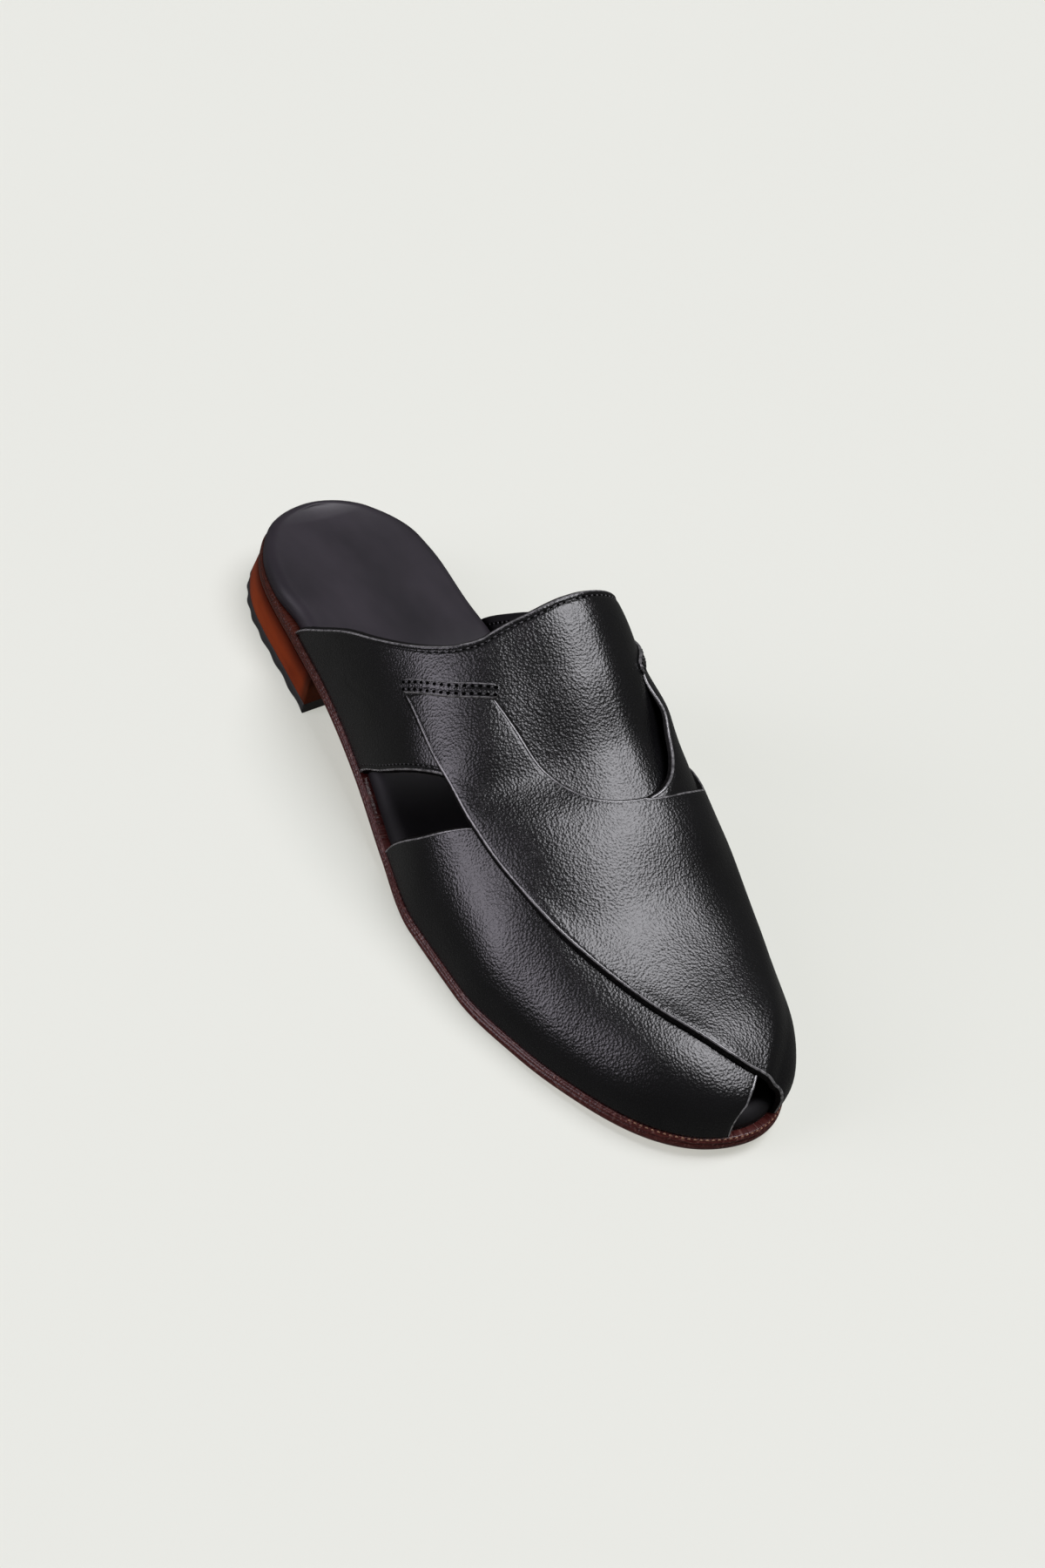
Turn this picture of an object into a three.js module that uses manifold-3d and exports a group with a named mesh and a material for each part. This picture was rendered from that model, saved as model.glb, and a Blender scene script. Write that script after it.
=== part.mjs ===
// A black leather peshawari chappal in its backless form: a right shoe.
// A stitched instep band with a round tongue lies lowest, two wide straps cross over it,
// and they leave a cut-out on each side and a small opening at the toe. Below them are a
// padded insole, a leather outsole with a grooved edge, a stacked heel and a ribbed rubber lift.
//
// Millimetres. X runs from heel to toe, +Y to the wearer's left (the inner side of a right
// shoe), +Z up. The origin is on the floor under the middle of the whole shoe.
import * as THREE from 'three';
import { mergeVertices } from 'three/addons/utils/BufferGeometryUtils.js';
import Module from 'manifold-3d';

// Driving dimensions
const LENGTH = 285;
const BALL_WIDTH = 97;
const INSTEP_RISE = 75;
const HEEL_HEIGHT = 15.2;
const HEEL_LENGTH = 72;
const TOE_SPRING = 4;

// Sole, heel and insole
const SOLE_THICKNESS = 5;
const SOLE_LIP = 0.7;
const EDGE_BEVEL = 0.6;
const GROOVE_DEPTH = 0.4;
const GROOVE_WIDTH = 0.5;
const GROOVE_DROP = 1.6;
const LIFT_THICKNESS = 4;
const HEEL_FLARE = 1;
const HEEL_RAKE = 3;
const BREAST_HOLLOW = 2;
const LIFT_RIB_PITCH = 7.6;
const LIFT_RIB_DEPTH = 0.7;
const INSOLE_THICKNESS = 6;
const INSOLE_SHOULDER = 4;
const INSOLE_DISH = 1.6;
const INSOLE_SEAT_INSET = 0.9;

// Upper
const WALL = 2;
const GAP = 0.3;
const SIDE_GAP = 0.4;
const LAYER_SINK = 0.3;
const SECTION_POWER = 2.4;
const BAR_WIDTH = 4.8;
const BAR_RISE = 0.8;
const SLIT_RISE = 0.5;

// Where things lie along the sole, as shares of its length
const GROUND_FROM = 0.6;
const SPRING_FROM = 0.66;
const SEAT_END = 0.15;
const FEATHER_START = 0.185;
const TONGUE_FADE = 0.13;
const STRAP_STEP_ALONG = 0.06;
const STRAP_STEP_AROUND = 0.25;

// How far a slit bar's place moves along the sole and around the last per mm of its width.
const BAR_ALONG_PER_WIDTH = 0.75 / LENGTH;
const BAR_AROUND_PER_WIDTH = 0.42 / BALL_WIDTH;

// Shares of a bar's length that its round ends take, and of a strap's run that its rise takes.
const BAR_END = 0.07;
const SLIT_RUN = 0.07;

// Rows and columns of the faceted pieces
const SOLE_STATIONS = 44;
const HEEL_STATIONS = 24;
const BREAST_STEPS = 8;
const INSOLE_STATIONS = 42;
const SHOULDER_STEPS = 3;
const DISH_STEPS = 6;
const BAND_GRID = [10, 44];
const STRAP_GRID = [32, 14];
const BAR_GRID = [20, 2];

// The sole's outline. along: share of LENGTH. lateral, medial: shares of BALL_WIDTH.
const OUTLINE = table(['along', 'lateral', 'medial'], [
  [0.00, 0.000, 0.000],
  [0.03, -0.215, 0.212],
  [0.10, -0.312, 0.317],
  [0.20, -0.346, 0.332],
  [0.30, -0.376, 0.338],
  [0.40, -0.411, 0.362],
  [0.50, -0.461, 0.403],
  [0.60, -0.509, 0.448],
  [0.70, -0.506, 0.482],
  [0.80, -0.447, 0.446],
  [0.88, -0.361, 0.377],
  [0.94, -0.264, 0.300],
  [0.98, -0.144, 0.212],
  [1.00, 0.052, 0.052],
]);

// The last's sections. rise: share of INSTEP_RISE. ridge and the two swells: shares of
// BALL_WIDTH, where a swell is how far a side stands out halfway up.
const SECTIONS = table(['along', 'rise', 'ridge', 'lateralSwell', 'medialSwell'], [
  [0.18, 1.020, 0.103, 0.015, 0.057],
  [0.32, 1.020, 0.134, 0.015, 0.088],
  [0.44, 0.996, 0.160, 0.015, 0.098],
  [0.52, 0.903, 0.155, 0.015, 0.066],
  [0.60, 0.741, 0.148, 0.015, 0.038],
  [0.68, 0.604, 0.136, 0.015, 0.032],
  [0.76, 0.467, 0.124, 0.015, 0.030],
  [0.84, 0.373, 0.113, 0.012, 0.034],
  [0.92, 0.307, 0.095, 0.010, 0.044],
  [0.97, 0.225, 0.074, 0.005, 0.040],
  [1.00, 0.120, 0.052, 0.000, 0.000],
]);

// The instep band with its tongue. around: -1 at the lateral sole edge, 0 on the ridge, 1 at
// the medial sole edge. rear and front: shares of LENGTH.
const BAND = table(['around', 'rear', 'front'], [
  [-1.00, 0.188, 0.405],
  [-0.90, 0.246, 0.448],
  [-0.80, 0.295, 0.480],
  [-0.70, 0.343, 0.509],
  [-0.60, 0.382, 0.538],
  [-0.50, 0.413, 0.570],
  [-0.40, 0.435, 0.603],
  [-0.30, 0.445, 0.636],
  [-0.15, 0.445, 0.672],
  [0.00, 0.440, 0.685],
  [0.15, 0.438, 0.674],
  [0.30, 0.433, 0.638],
  [0.45, 0.419, 0.588],
  [0.60, 0.393, 0.538],
  [0.75, 0.352, 0.494],
  [0.90, 0.292, 0.448],
  [1.00, 0.243, 0.405],
]);

// The strap on top, from its slit on the lateral side to the medial sole edge. run: share of
// the strap's own course. Each edge has its place along the sole and around the last.
const OVER_STRAP = table(['run', 'inAlong', 'inAround', 'outAlong', 'outAround'], [
  [0.00, 0.512, -0.325, 0.430, -0.669],
  [0.07, 0.548, -0.280, 0.500, -0.632],
  [0.14, 0.587, -0.238, 0.572, -0.568],
  [0.21, 0.619, -0.183, 0.648, -0.528],
  [0.28, 0.641, -0.115, 0.725, -0.453],
  [0.35, 0.653, -0.030, 0.810, -0.369],
  [0.42, 0.657, 0.070, 0.890, -0.268],
  [0.50, 0.655, 0.210, 0.950, -0.118],
  [0.59, 0.644, 0.410, 0.980, 0.050],
  [0.70, 0.596, 0.575, 0.990, 0.240],
  [0.84, 0.555, 0.790, 0.993, 0.600],
  [1.00, 0.500, 1.000, 0.990, 1.000],
]);

// The strap below it, from its slit on the medial side to the lateral sole edge.
const UNDER_STRAP = table(['run', 'inAlong', 'inAround', 'outAlong', 'outAround'], [
  [0.00, 0.526, 0.300, 0.440, 0.660],
  [0.07, 0.556, 0.285, 0.504, 0.630],
  [0.14, 0.587, 0.238, 0.572, 0.568],
  [0.21, 0.619, 0.183, 0.648, 0.528],
  [0.28, 0.641, 0.115, 0.725, 0.453],
  [0.35, 0.653, 0.030, 0.810, 0.369],
  [0.42, 0.657, -0.070, 0.885, 0.275],
  [0.50, 0.653, -0.210, 0.942, 0.150],
  [0.59, 0.636, -0.410, 0.978, 0.020],
  [0.70, 0.596, -0.575, 0.988, -0.020],
  [0.84, 0.555, -0.790, 0.997, -0.230],
  [1.00, 0.500, -1.000, 0.998, -1.000],
]);

// The stitched bars over the slits. run: share of the bar's length.
const LATERAL_BAR = table(['run', 'along', 'around'], [
  [0.0, 0.420, -0.660],
  [0.5, 0.470, -0.486],
  [1.0, 0.505, -0.312],
]);
const MEDIAL_BAR = table(['run', 'along', 'around'], [
  [0.0, 0.430, 0.650],
  [0.5, 0.482, 0.466],
  [1.0, 0.520, 0.290],
]);

const wasm = await Module();
wasm.setup();

// Tables and curves

function table(names, rows) {
  return rows.map((row) => Object.fromEntries(names.map((name, i) => [name, row[i]])));
}

// A smooth curve through a table's column that never overshoots its rows.
function curve(rows, key, value, warp = (t) => t) {
  const xs = rows.map((row) => warp(row[key]));
  const ys = rows.map((row) => row[value]);
  const last = xs.length - 1;
  const steps = xs.slice(1).map((x, i) => x - xs[i]);
  const rates = steps.map((step, i) => (ys[i + 1] - ys[i]) / step);
  const slopes = xs.map((x, i) => {
    if (i === 0) return rates[0];
    if (i === last) return rates[last - 1];
    if (rates[i - 1] * rates[i] <= 0) return 0;
    const before = 2 * steps[i] + steps[i - 1];
    const after = steps[i] + 2 * steps[i - 1];
    return (before + after) / (before / rates[i - 1] + after / rates[i]);
  });
  return (at) => {
    const x = Math.min(Math.max(warp(at), xs[0]), xs[last]);
    let i = 0;
    while (i < last - 1 && x > xs[i + 1]) i += 1;
    const t = (x - xs[i]) / steps[i];
    const pull = steps[i] * (slopes[i] * t * (1 - t) ** 2 - slopes[i + 1] * (1 - t) * t ** 2);
    return ys[i] + (ys[i + 1] - ys[i]) * t * t * (3 - 2 * t) + pull;
  };
}

function smooth(t) {
  const held = Math.min(Math.max(t, 0), 1);
  return held * held * (3 - 2 * held);
}

// A share of the length as an angle round the outline, so that heel and toe come out round.
function turn(along) {
  return Math.acos(1 - 2 * Math.min(Math.max(along, 0), 1));
}

const lateralHalf = curve(OUTLINE, 'along', 'lateral', turn);
const medialHalf = curve(OUTLINE, 'along', 'medial', turn);
const riseAt = curve(SECTIONS, 'along', 'rise', turn);
const ridgeAt = curve(SECTIONS, 'along', 'ridge', turn);
const lateralSwell = curve(SECTIONS, 'along', 'lateralSwell', turn);
const medialSwell = curve(SECTIONS, 'along', 'medialSwell', turn);
const bandRear = curve(BAND, 'around', 'rear');
const bandFront = curve(BAND, 'around', 'front');

// Sole form

function alongOf(angle) {
  return (1 - Math.cos(angle)) / 2;
}

function undersideAt(x) {
  const groundX = GROUND_FROM * LENGTH;
  const springX = SPRING_FROM * LENGTH;
  const fall = 1 - smooth((x - HEEL_LENGTH) / (groundX - HEEL_LENGTH));
  const lift = Math.min(Math.max((x - springX) / (LENGTH - springX), 0), 1);
  return HEEL_HEIGHT * fall + TOE_SPRING * lift * lift;
}

// A point of the outline at an angle, on the lateral (-1) or medial (1) side, moved inward.
function outlinePoint(angle, side, inset) {
  const half = side < 0 ? lateralHalf : medialHalf;
  const nudge = 0.001;
  const width = (at) => BALL_WIDTH * half(alongOf(at));
  const dx = (LENGTH * Math.sin(angle)) / 2;
  const before = Math.max(angle - nudge, 0);
  const after = Math.min(angle + nudge, Math.PI);
  const dy = (width(after) - width(before)) / (after - before);
  const size = Math.hypot(dx, dy);
  return {
    x: LENGTH * alongOf(angle) + (side * inset * dy) / size,
    y: width(angle) - (side * inset * dx) / size,
  };
}

const soleTopAt = (x) => undersideAt(x) + SOLE_THICKNESS + GAP;

// Last form: a point at a share of the length and of the way around, moved off the surface.

function lastPoint(along, around) {
  const angle = turn(along);
  const inset = SOLE_LIP + WALL;
  const lateral = outlinePoint(angle, -1, inset);
  const medial = outlinePoint(angle, 1, inset);
  const edge = around < 0 ? lateral : medial;
  const centreX = (lateral.x + medial.x) / 2;
  const narrow = Math.min(lateral.y, medial.y);
  const wide = Math.max(lateral.y, medial.y);
  const centreY = Math.min(Math.max(BALL_WIDTH * ridgeAt(along), narrow), wide);
  const lean = Math.abs(around) * (Math.PI / 2);
  const across = Math.sin(lean) ** (2 / SECTION_POWER);
  const up = Math.max(Math.cos(lean), 0) ** (2 / SECTION_POWER);
  const swell = around < 0 ? -lateralSwell(along) : medialSwell(along);
  return new THREE.Vector3(
    centreX + (edge.x - centreX) * across,
    centreY + (edge.y - centreY) * across + BALL_WIDTH * swell * Math.sin(2 * lean),
    soleTopAt(centreX) + INSTEP_RISE * riseAt(along) * up,
  );
}

function surfacePoint(along, around, offset) {
  const step = 0.001;
  const ahead = lastPoint(Math.min(along + step, 1), around);
  const behind = lastPoint(along - step, around);
  const left = lastPoint(along, Math.min(around + step, 1));
  const right = lastPoint(along, Math.max(around - step, -1));
  const normal = ahead.sub(behind).cross(left.sub(right)).normalize();
  const point = lastPoint(along, around).addScaledVector(normal, offset);
  point.z = Math.max(point.z, soleTopAt(point.x));
  return point;
}

// Mesh building

// A closed geometry from points and triangles: equal points are joined, flat faces dropped,
// and the faces are turned outward.
function closedGeometry(points, triangles) {
  const soup = new THREE.BufferGeometry();
  const flat = triangles.flatMap((face) => face.flatMap((i) => points[i].toArray()));
  soup.setAttribute('position', new THREE.Float32BufferAttribute(flat, 3));
  const joined = mergeVertices(soup, 1e-3);
  const index = Array.from(joined.index.array);
  const faces = [];
  for (let i = 0; i < index.length; i += 3) {
    const [a, b, c] = index.slice(i, i + 3);
    if (a !== b && b !== c && c !== a) faces.push([a, b, c]);
  }
  if (volumeOf(joined.attributes.position, faces) < 0) faces.forEach((face) => face.reverse());
  joined.setIndex(faces.flat());
  return joined;
}

function volumeOf(position, faces) {
  const corner = (i) => new THREE.Vector3().fromBufferAttribute(position, i);
  return faces.reduce((sum, [a, b, c]) => sum + corner(a).dot(corner(b).cross(corner(c))), 0);
}

// Rings of equally many points, joined one to the next. The end rings are closed with caps
// where they enclose an area, or have already shrunk to a line.
function loft(rings, caps = []) {
  const count = rings[0].length;
  const points = rings.flat();
  const triangles = [];
  for (let row = 0; row + 1 < rings.length; row += 1) {
    for (let i = 0; i < count; i += 1) {
      const a = row * count + i;
      const b = row * count + ((i + 1) % count);
      triangles.push([a, b, b + count], [a, b + count, a + count]);
    }
  }
  const lastRow = (rings.length - 1) * count;
  caps.forEach(([a, b, c]) => {
    triangles.push([c, b, a], [lastRow + a, lastRow + b, lastRow + c]);
  });
  return closedGeometry(points, triangles);
}

// A closed slab over a grid of places on the last, between two offsets from its surface.
function slab([rows, columns], place, lowOffset, highOffset) {
  const points = [];
  const width = columns + 1;
  const layer = (rows + 1) * width;
  for (const offset of [lowOffset, highOffset]) {
    for (let row = 0; row <= rows; row += 1) {
      for (let column = 0; column <= columns; column += 1) {
        const { along, around, run } = place(row / rows, column / columns);
        points.push(surfacePoint(along, around, offset(along, around, run)));
      }
    }
  }
  const triangles = [];
  const quad = (a, b, c, d) => triangles.push([a, b, c], [a, c, d]);
  for (let row = 0; row < rows; row += 1) {
    for (let column = 0; column < columns; column += 1) {
      const a = row * width + column;
      quad(a, a + 1, a + 1 + width, a + width);
      quad(layer + a + width, layer + a + 1 + width, layer + a + 1, layer + a);
    }
  }
  const rim = [];
  for (let column = 0; column < columns; column += 1) rim.push(column);
  for (let row = 0; row < rows; row += 1) rim.push(row * width + columns);
  for (let column = columns; column > 0; column -= 1) rim.push(rows * width + column);
  for (let row = rows; row > 0; row -= 1) rim.push(row * width);
  rim.forEach((a, i) => {
    const b = rim[(i + 1) % rim.length];
    quad(b, a, a + layer, b + layer);
  });
  return closedGeometry(points, triangles);
}

function solidOf(geometry) {
  return new wasm.Manifold(new wasm.Mesh({
    numProp: 3,
    vertProperties: new Float32Array(geometry.attributes.position.array),
    triVerts: new Uint32Array(geometry.index.array),
  }));
}

function geometryOf(solid) {
  const { vertProperties, triVerts } = solid.getMesh();
  const geometry = new THREE.BufferGeometry();
  geometry.setAttribute('position', new THREE.BufferAttribute(vertProperties, 3));
  geometry.setIndex(Array.from(triVerts));
  return geometry;
}

// Outsole: one section after another from heel to toe, each with bevel, side and edge groove.

function outsoleGeometry() {
  const grooveTop = SOLE_THICKNESS - GROOVE_DROP;
  const profile = [
    { inset: EDGE_BEVEL, height: 0 },
    { inset: 0, height: EDGE_BEVEL },
    { inset: 0, height: grooveTop - 2 * GROOVE_WIDTH },
    { inset: GROOVE_DEPTH, height: grooveTop - GROOVE_WIDTH },
    { inset: 0, height: grooveTop },
    { inset: 0, height: SOLE_THICKNESS - EDGE_BEVEL },
    { inset: EDGE_BEVEL / 2, height: SOLE_THICKNESS },
  ];
  const rings = soleStations(SOLE_STATIONS).map((angle) => {
    const sidePoint = (side) => ({ inset, height }) => {
      const { x, y } = outlinePoint(angle, side, inset);
      return new THREE.Vector3(x, y, undersideAt(x) + height);
    };
    return [...profile.map(sidePoint(-1)), ...[...profile].reverse().map(sidePoint(1))];
  });
  return loft(rings);
}

function soleStations(count) {
  return Array.from({ length: count + 1 }, (unused, i) => (Math.PI * i) / count);
}

// Heel: plan outlines stacked from the floor up. The outline runs round the back of the sole
// and closes along the slightly hollow breast.

function heelPlan(height, extra = () => 0) {
  const breastAngle = turn(HEEL_LENGTH / LENGTH);
  const depth = 1 - height / HEEL_HEIGHT;
  const side = (which) => Array.from({ length: HEEL_STATIONS + 1 }, (unused, i) => {
    const angle = (breastAngle * i) / HEEL_STATIONS;
    const inset = -HEEL_FLARE * depth + GROOVE_DEPTH / 2;
    const { x, y } = outlinePoint(angle, which, inset + extra(which * angle));
    const rake = HEEL_RAKE * depth * (1 - x / HEEL_LENGTH);
    return new THREE.Vector2(x - rake, y);
  });
  const medial = side(1).reverse();
  const lateral = side(-1).slice(1);
  const [from, to] = [lateral[lateral.length - 1], medial[0]];
  const breast = Array.from({ length: BREAST_STEPS - 1 }, (unused, i) => {
    const share = (i + 1) / BREAST_STEPS;
    const point = from.clone().lerp(to, share);
    point.x -= BREAST_HOLLOW * 4 * share * (1 - share);
    return point;
  });
  return [...medial, ...lateral, ...breast];
}

function stackedGeometry(levels, plan) {
  const plans = levels.map(plan);
  const caps = THREE.ShapeUtils.triangulateShape(plans[0], []);
  const rings = plans.map((points, i) => points.map(({ x, y }) => new THREE.Vector3(x, y, levels[i])));
  return loft(rings, caps);
}

function heelStackGeometry() {
  const levels = [LIFT_THICKNESS, (LIFT_THICKNESS + HEEL_HEIGHT) / 2, HEEL_HEIGHT - GAP];
  return stackedGeometry(levels, (height) => heelPlan(height));
}

function topLiftGeometry() {
  const arcPerAngle = LENGTH / 4;
  const ribs = (angle) => {
    const wave = Math.cos((2 * Math.PI * Math.abs(angle) * arcPerAngle) / LIFT_RIB_PITCH);
    return (LIFT_RIB_DEPTH * (1 - wave)) / 2;
  };
  const levels = [0, LIFT_THICKNESS / 2, LIFT_THICKNESS];
  return stackedGeometry(levels, (height) => {
    const fade = 1 - smooth(height / LIFT_THICKNESS);
    return heelPlan(height, (angle) => ribs(angle) * fade);
  });
}

// Insole: padded, with a rounded shoulder and a shallow dish.

function insoleInset(along) {
  const inside = SOLE_LIP + WALL + SIDE_GAP;
  const change = smooth((along - SEAT_END) / (FEATHER_START - SEAT_END));
  return INSOLE_SEAT_INSET + (inside - INSOLE_SEAT_INSET) * change;
}

function insoleGeometry() {
  const rings = soleStations(INSOLE_STATIONS).map((angle) => {
    const base = insoleInset(alongOf(angle));
    const point = (side, inset, height) => {
      const { x, y } = outlinePoint(angle, side, base + inset);
      return new THREE.Vector3(x, y, soleTopAt(x) + height);
    };
    const edge = (side) => {
      const shoulder = Array.from({ length: SHOULDER_STEPS + 1 }, (unused, i) => {
        const lean = ((Math.PI / 2) * i) / SHOULDER_STEPS;
        const drop = INSOLE_SHOULDER * (1 - Math.sin(lean));
        return point(side, INSOLE_SHOULDER * (1 - Math.cos(lean)), INSOLE_THICKNESS - drop);
      });
      return [point(side, 0, 0), ...shoulder];
    };
    const lateral = edge(-1);
    const medial = edge(1);
    const from = lateral[lateral.length - 1];
    const to = medial[medial.length - 1];
    const width = Math.min(from.distanceTo(to) / (BALL_WIDTH / 3), 1);
    const dish = Array.from({ length: DISH_STEPS - 1 }, (unused, i) => {
      const share = (i + 1) / DISH_STEPS;
      const across = from.clone().lerp(to, share);
      across.z -= INSOLE_DISH * width * Math.sin(Math.PI * share);
      return across;
    });
    return [...lateral, ...dish, ...medial.reverse()];
  });
  return loft(rings);
}

// Upper: band, straps and slit bars as slabs on the last, joined into one wall.

const tongueAt = (along, around) => 1 - smooth((along - bandFront(around)) / TONGUE_FADE);

const underEdge = curve([...UNDER_STRAP].reverse(), 'inAround', 'inAlong');
const underReach = curve(UNDER_STRAP, 'outAlong', 'outAround');

// How much of the lower strap lies under a place: a soft step at each of its edges.
function underAt(along, around) {
  const behind = smooth((along - underEdge(around)) / STRAP_STEP_ALONG + 1);
  const beside = 1 - smooth((around - underReach(along)) / STRAP_STEP_AROUND);
  return behind * beside;
}

const strapFloor = (along, around) => tongueAt(along, around) * (WALL - LAYER_SINK);

// A strap comes out of its slit low and reaches its full height a little way along.
function slitRise(run) {
  return SLIT_RISE / WALL + (1 - SLIT_RISE / WALL) * smooth(run / SLIT_RUN);
}

function bandSlab() {
  const place = (row, column) => {
    const around = -1 + 2 * column;
    const rear = bandRear(around);
    return { along: rear + (bandFront(around) - rear) * row, around, run: row };
  };
  return slab(BAND_GRID, place, () => 0, () => WALL);
}

function strapSlab(strap, highOffset) {
  const [inAlong, inAround, outAlong, outAround] =
    ['inAlong', 'inAround', 'outAlong', 'outAround'].map((name) => curve(strap, 'run', name));
  const place = (run, share) => ({
    along: alongOf(THREE.MathUtils.lerp(turn(inAlong(run)), turn(outAlong(run)), share)),
    around: THREE.MathUtils.lerp(inAround(run), outAround(run), share),
    run,
  });
  return slab(STRAP_GRID, place, strapFloor, highOffset);
}

function underStrapSlab() {
  return strapSlab(UNDER_STRAP, (along, around, run) => {
    return WALL * (tongueAt(along, around) + slitRise(run));
  });
}

function overStrapSlab() {
  return strapSlab(OVER_STRAP, (along, around, run) => {
    return WALL * (tongueAt(along, around) + underAt(along, around) + slitRise(run));
  });
}

// A round-ended bar across the slit.
function slitBarSlab(bar) {
  const along = curve(bar, 'run', 'along');
  const around = curve(bar, 'run', 'around');
  const side = Math.sign(bar[0].around);
  const place = (run, share) => {
    const toEnd = Math.min(run, 1 - run, BAR_END) / BAR_END;
    const fullness = Math.sqrt(1 - (1 - toEnd) ** 2);
    const offCentre = BAR_WIDTH * (share - 0.5) * fullness;
    return {
      along: along(run) + offCentre * BAR_ALONG_PER_WIDTH,
      around: around(run) + side * offCentre * BAR_AROUND_PER_WIDTH,
      run,
    };
  };
  return slab(BAR_GRID, place, () => WALL - LAYER_SINK, () => WALL + BAR_RISE + SLIT_RISE);
}

function upperGeometry() {
  const bars = [LATERAL_BAR, MEDIAL_BAR].map(slitBarSlab);
  const solids = [bandSlab(), underStrapSlab(), overStrapSlab(), ...bars].map(solidOf);
  return geometryOf(solids.reduce((whole, next) => whole.add(next)));
}

// Materials and assembly

function material(color, roughness, metalness = 0) {
  return new THREE.MeshStandardMaterial({ color, roughness, metalness });
}

const blackLeather = material(0x17161a, 0.42);
const insoleLeather = material(0x1f1c22, 0.5);
const soleLeather = material(0x4a1712, 0.35);
const heelLeather = material(0x7a2c0e, 0.4);
const blackRubber = material(0x121212, 0.75);

const shoe = new THREE.Group();

function addPiece(name, geometry, finish) {
  const piece = new THREE.Mesh(geometry, finish);
  piece.name = name;
  shoe.add(piece);
}

addPiece('top_lift', topLiftGeometry(), blackRubber);
addPiece('heel_stack', heelStackGeometry(), heelLeather);
addPiece('outsole', outsoleGeometry(), soleLeather);
addPiece('insole', insoleGeometry(), insoleLeather);
addPiece('upper', upperGeometry(), blackLeather);

const box = new THREE.Box3().setFromObject(shoe);
const centre = box.getCenter(new THREE.Vector3());
shoe.position.set(-centre.x, -centre.y, -box.min.z);

export default shoe;
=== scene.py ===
"""The looks of a black leather peshawari chappal, a backless right shoe.

The surfaces follow the same last as the solids: an outline table, a table of sections and a
layer height above it. Everything is worked out in millimetres in the last's own frame: X from
the heel's back edge to the toe, +Y the inner side, +Z up. add_object moves it to the row frame.
"""
import math
import random

import bpy
import numpy as np
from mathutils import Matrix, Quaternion, Vector


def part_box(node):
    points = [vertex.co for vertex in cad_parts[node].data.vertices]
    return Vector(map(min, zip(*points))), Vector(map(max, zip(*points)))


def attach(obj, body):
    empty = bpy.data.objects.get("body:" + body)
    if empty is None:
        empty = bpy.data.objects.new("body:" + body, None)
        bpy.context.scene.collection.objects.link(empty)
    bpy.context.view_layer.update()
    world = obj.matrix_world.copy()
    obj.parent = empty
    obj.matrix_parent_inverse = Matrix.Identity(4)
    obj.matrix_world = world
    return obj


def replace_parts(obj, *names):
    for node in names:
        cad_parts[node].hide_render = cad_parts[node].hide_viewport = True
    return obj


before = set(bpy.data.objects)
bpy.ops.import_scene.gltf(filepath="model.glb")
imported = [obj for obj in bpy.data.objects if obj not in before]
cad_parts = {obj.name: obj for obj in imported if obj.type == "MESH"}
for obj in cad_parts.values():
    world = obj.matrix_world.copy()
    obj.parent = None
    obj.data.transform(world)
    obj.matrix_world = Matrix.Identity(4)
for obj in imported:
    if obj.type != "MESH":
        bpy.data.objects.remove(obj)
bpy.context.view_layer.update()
BODY = "root"
MM = 0.001

# Sizes of the solids, in mm
LENGTH = 285.0
BALL_WIDTH = 97.0
INSTEP_RISE = 75.0
HEEL_HEIGHT = 15.2
HEEL_LENGTH = 72.0
TOE_SPRING = 4.0
SOLE_THICKNESS = 5.0
SOLE_LIP = 0.7
LIFT_THICKNESS = 4.0
HEEL_FLARE = 1.0
HEEL_RAKE = 3.0
BREAST_HOLLOW = 2.0
LIFT_RIB_PITCH = 7.6
INSOLE_THICKNESS = 6.0
INSOLE_SHOULDER = 4.0
INSOLE_DISH = 1.6
INSOLE_SEAT_INSET = 0.9
WALL = 2.0
GAP = 0.3
SIDE_GAP = 0.4
SECTION_POWER = 2.4
BAR_WIDTH = 4.8
BAR_RISE = 0.8
SLIT_RISE = 0.5

# Places of the solids, as shares: along the length, or around the last (-1 lateral, 1 medial)
GROUND_FROM = 0.6
SPRING_FROM = 0.66
FEATHER_START = 0.185
TONGUE_FADE = 0.13
STRAP_STEP_ALONG = 0.06
STRAP_STEP_AROUND = 0.25

# along, lateral, medial
OUTLINE = np.array([
    [0.00, 0.000, 0.000],
    [0.03, -0.215, 0.212],
    [0.10, -0.312, 0.317],
    [0.20, -0.346, 0.332],
    [0.30, -0.376, 0.338],
    [0.40, -0.411, 0.362],
    [0.50, -0.461, 0.403],
    [0.60, -0.509, 0.448],
    [0.70, -0.506, 0.482],
    [0.80, -0.447, 0.446],
    [0.88, -0.361, 0.377],
    [0.94, -0.264, 0.300],
    [0.98, -0.144, 0.212],
    [1.00, 0.052, 0.052],
])

# along, rise, ridge, lateral swell, medial swell
SECTIONS = np.array([
    [0.18, 1.020, 0.103, 0.015, 0.057],
    [0.32, 1.020, 0.134, 0.015, 0.088],
    [0.44, 0.996, 0.160, 0.015, 0.098],
    [0.52, 0.903, 0.155, 0.015, 0.066],
    [0.60, 0.741, 0.148, 0.015, 0.038],
    [0.68, 0.604, 0.136, 0.015, 0.032],
    [0.76, 0.467, 0.124, 0.015, 0.030],
    [0.84, 0.373, 0.113, 0.012, 0.034],
    [0.92, 0.307, 0.095, 0.010, 0.044],
    [0.97, 0.225, 0.074, 0.005, 0.040],
    [1.00, 0.120, 0.052, 0.000, 0.000],
])

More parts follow.
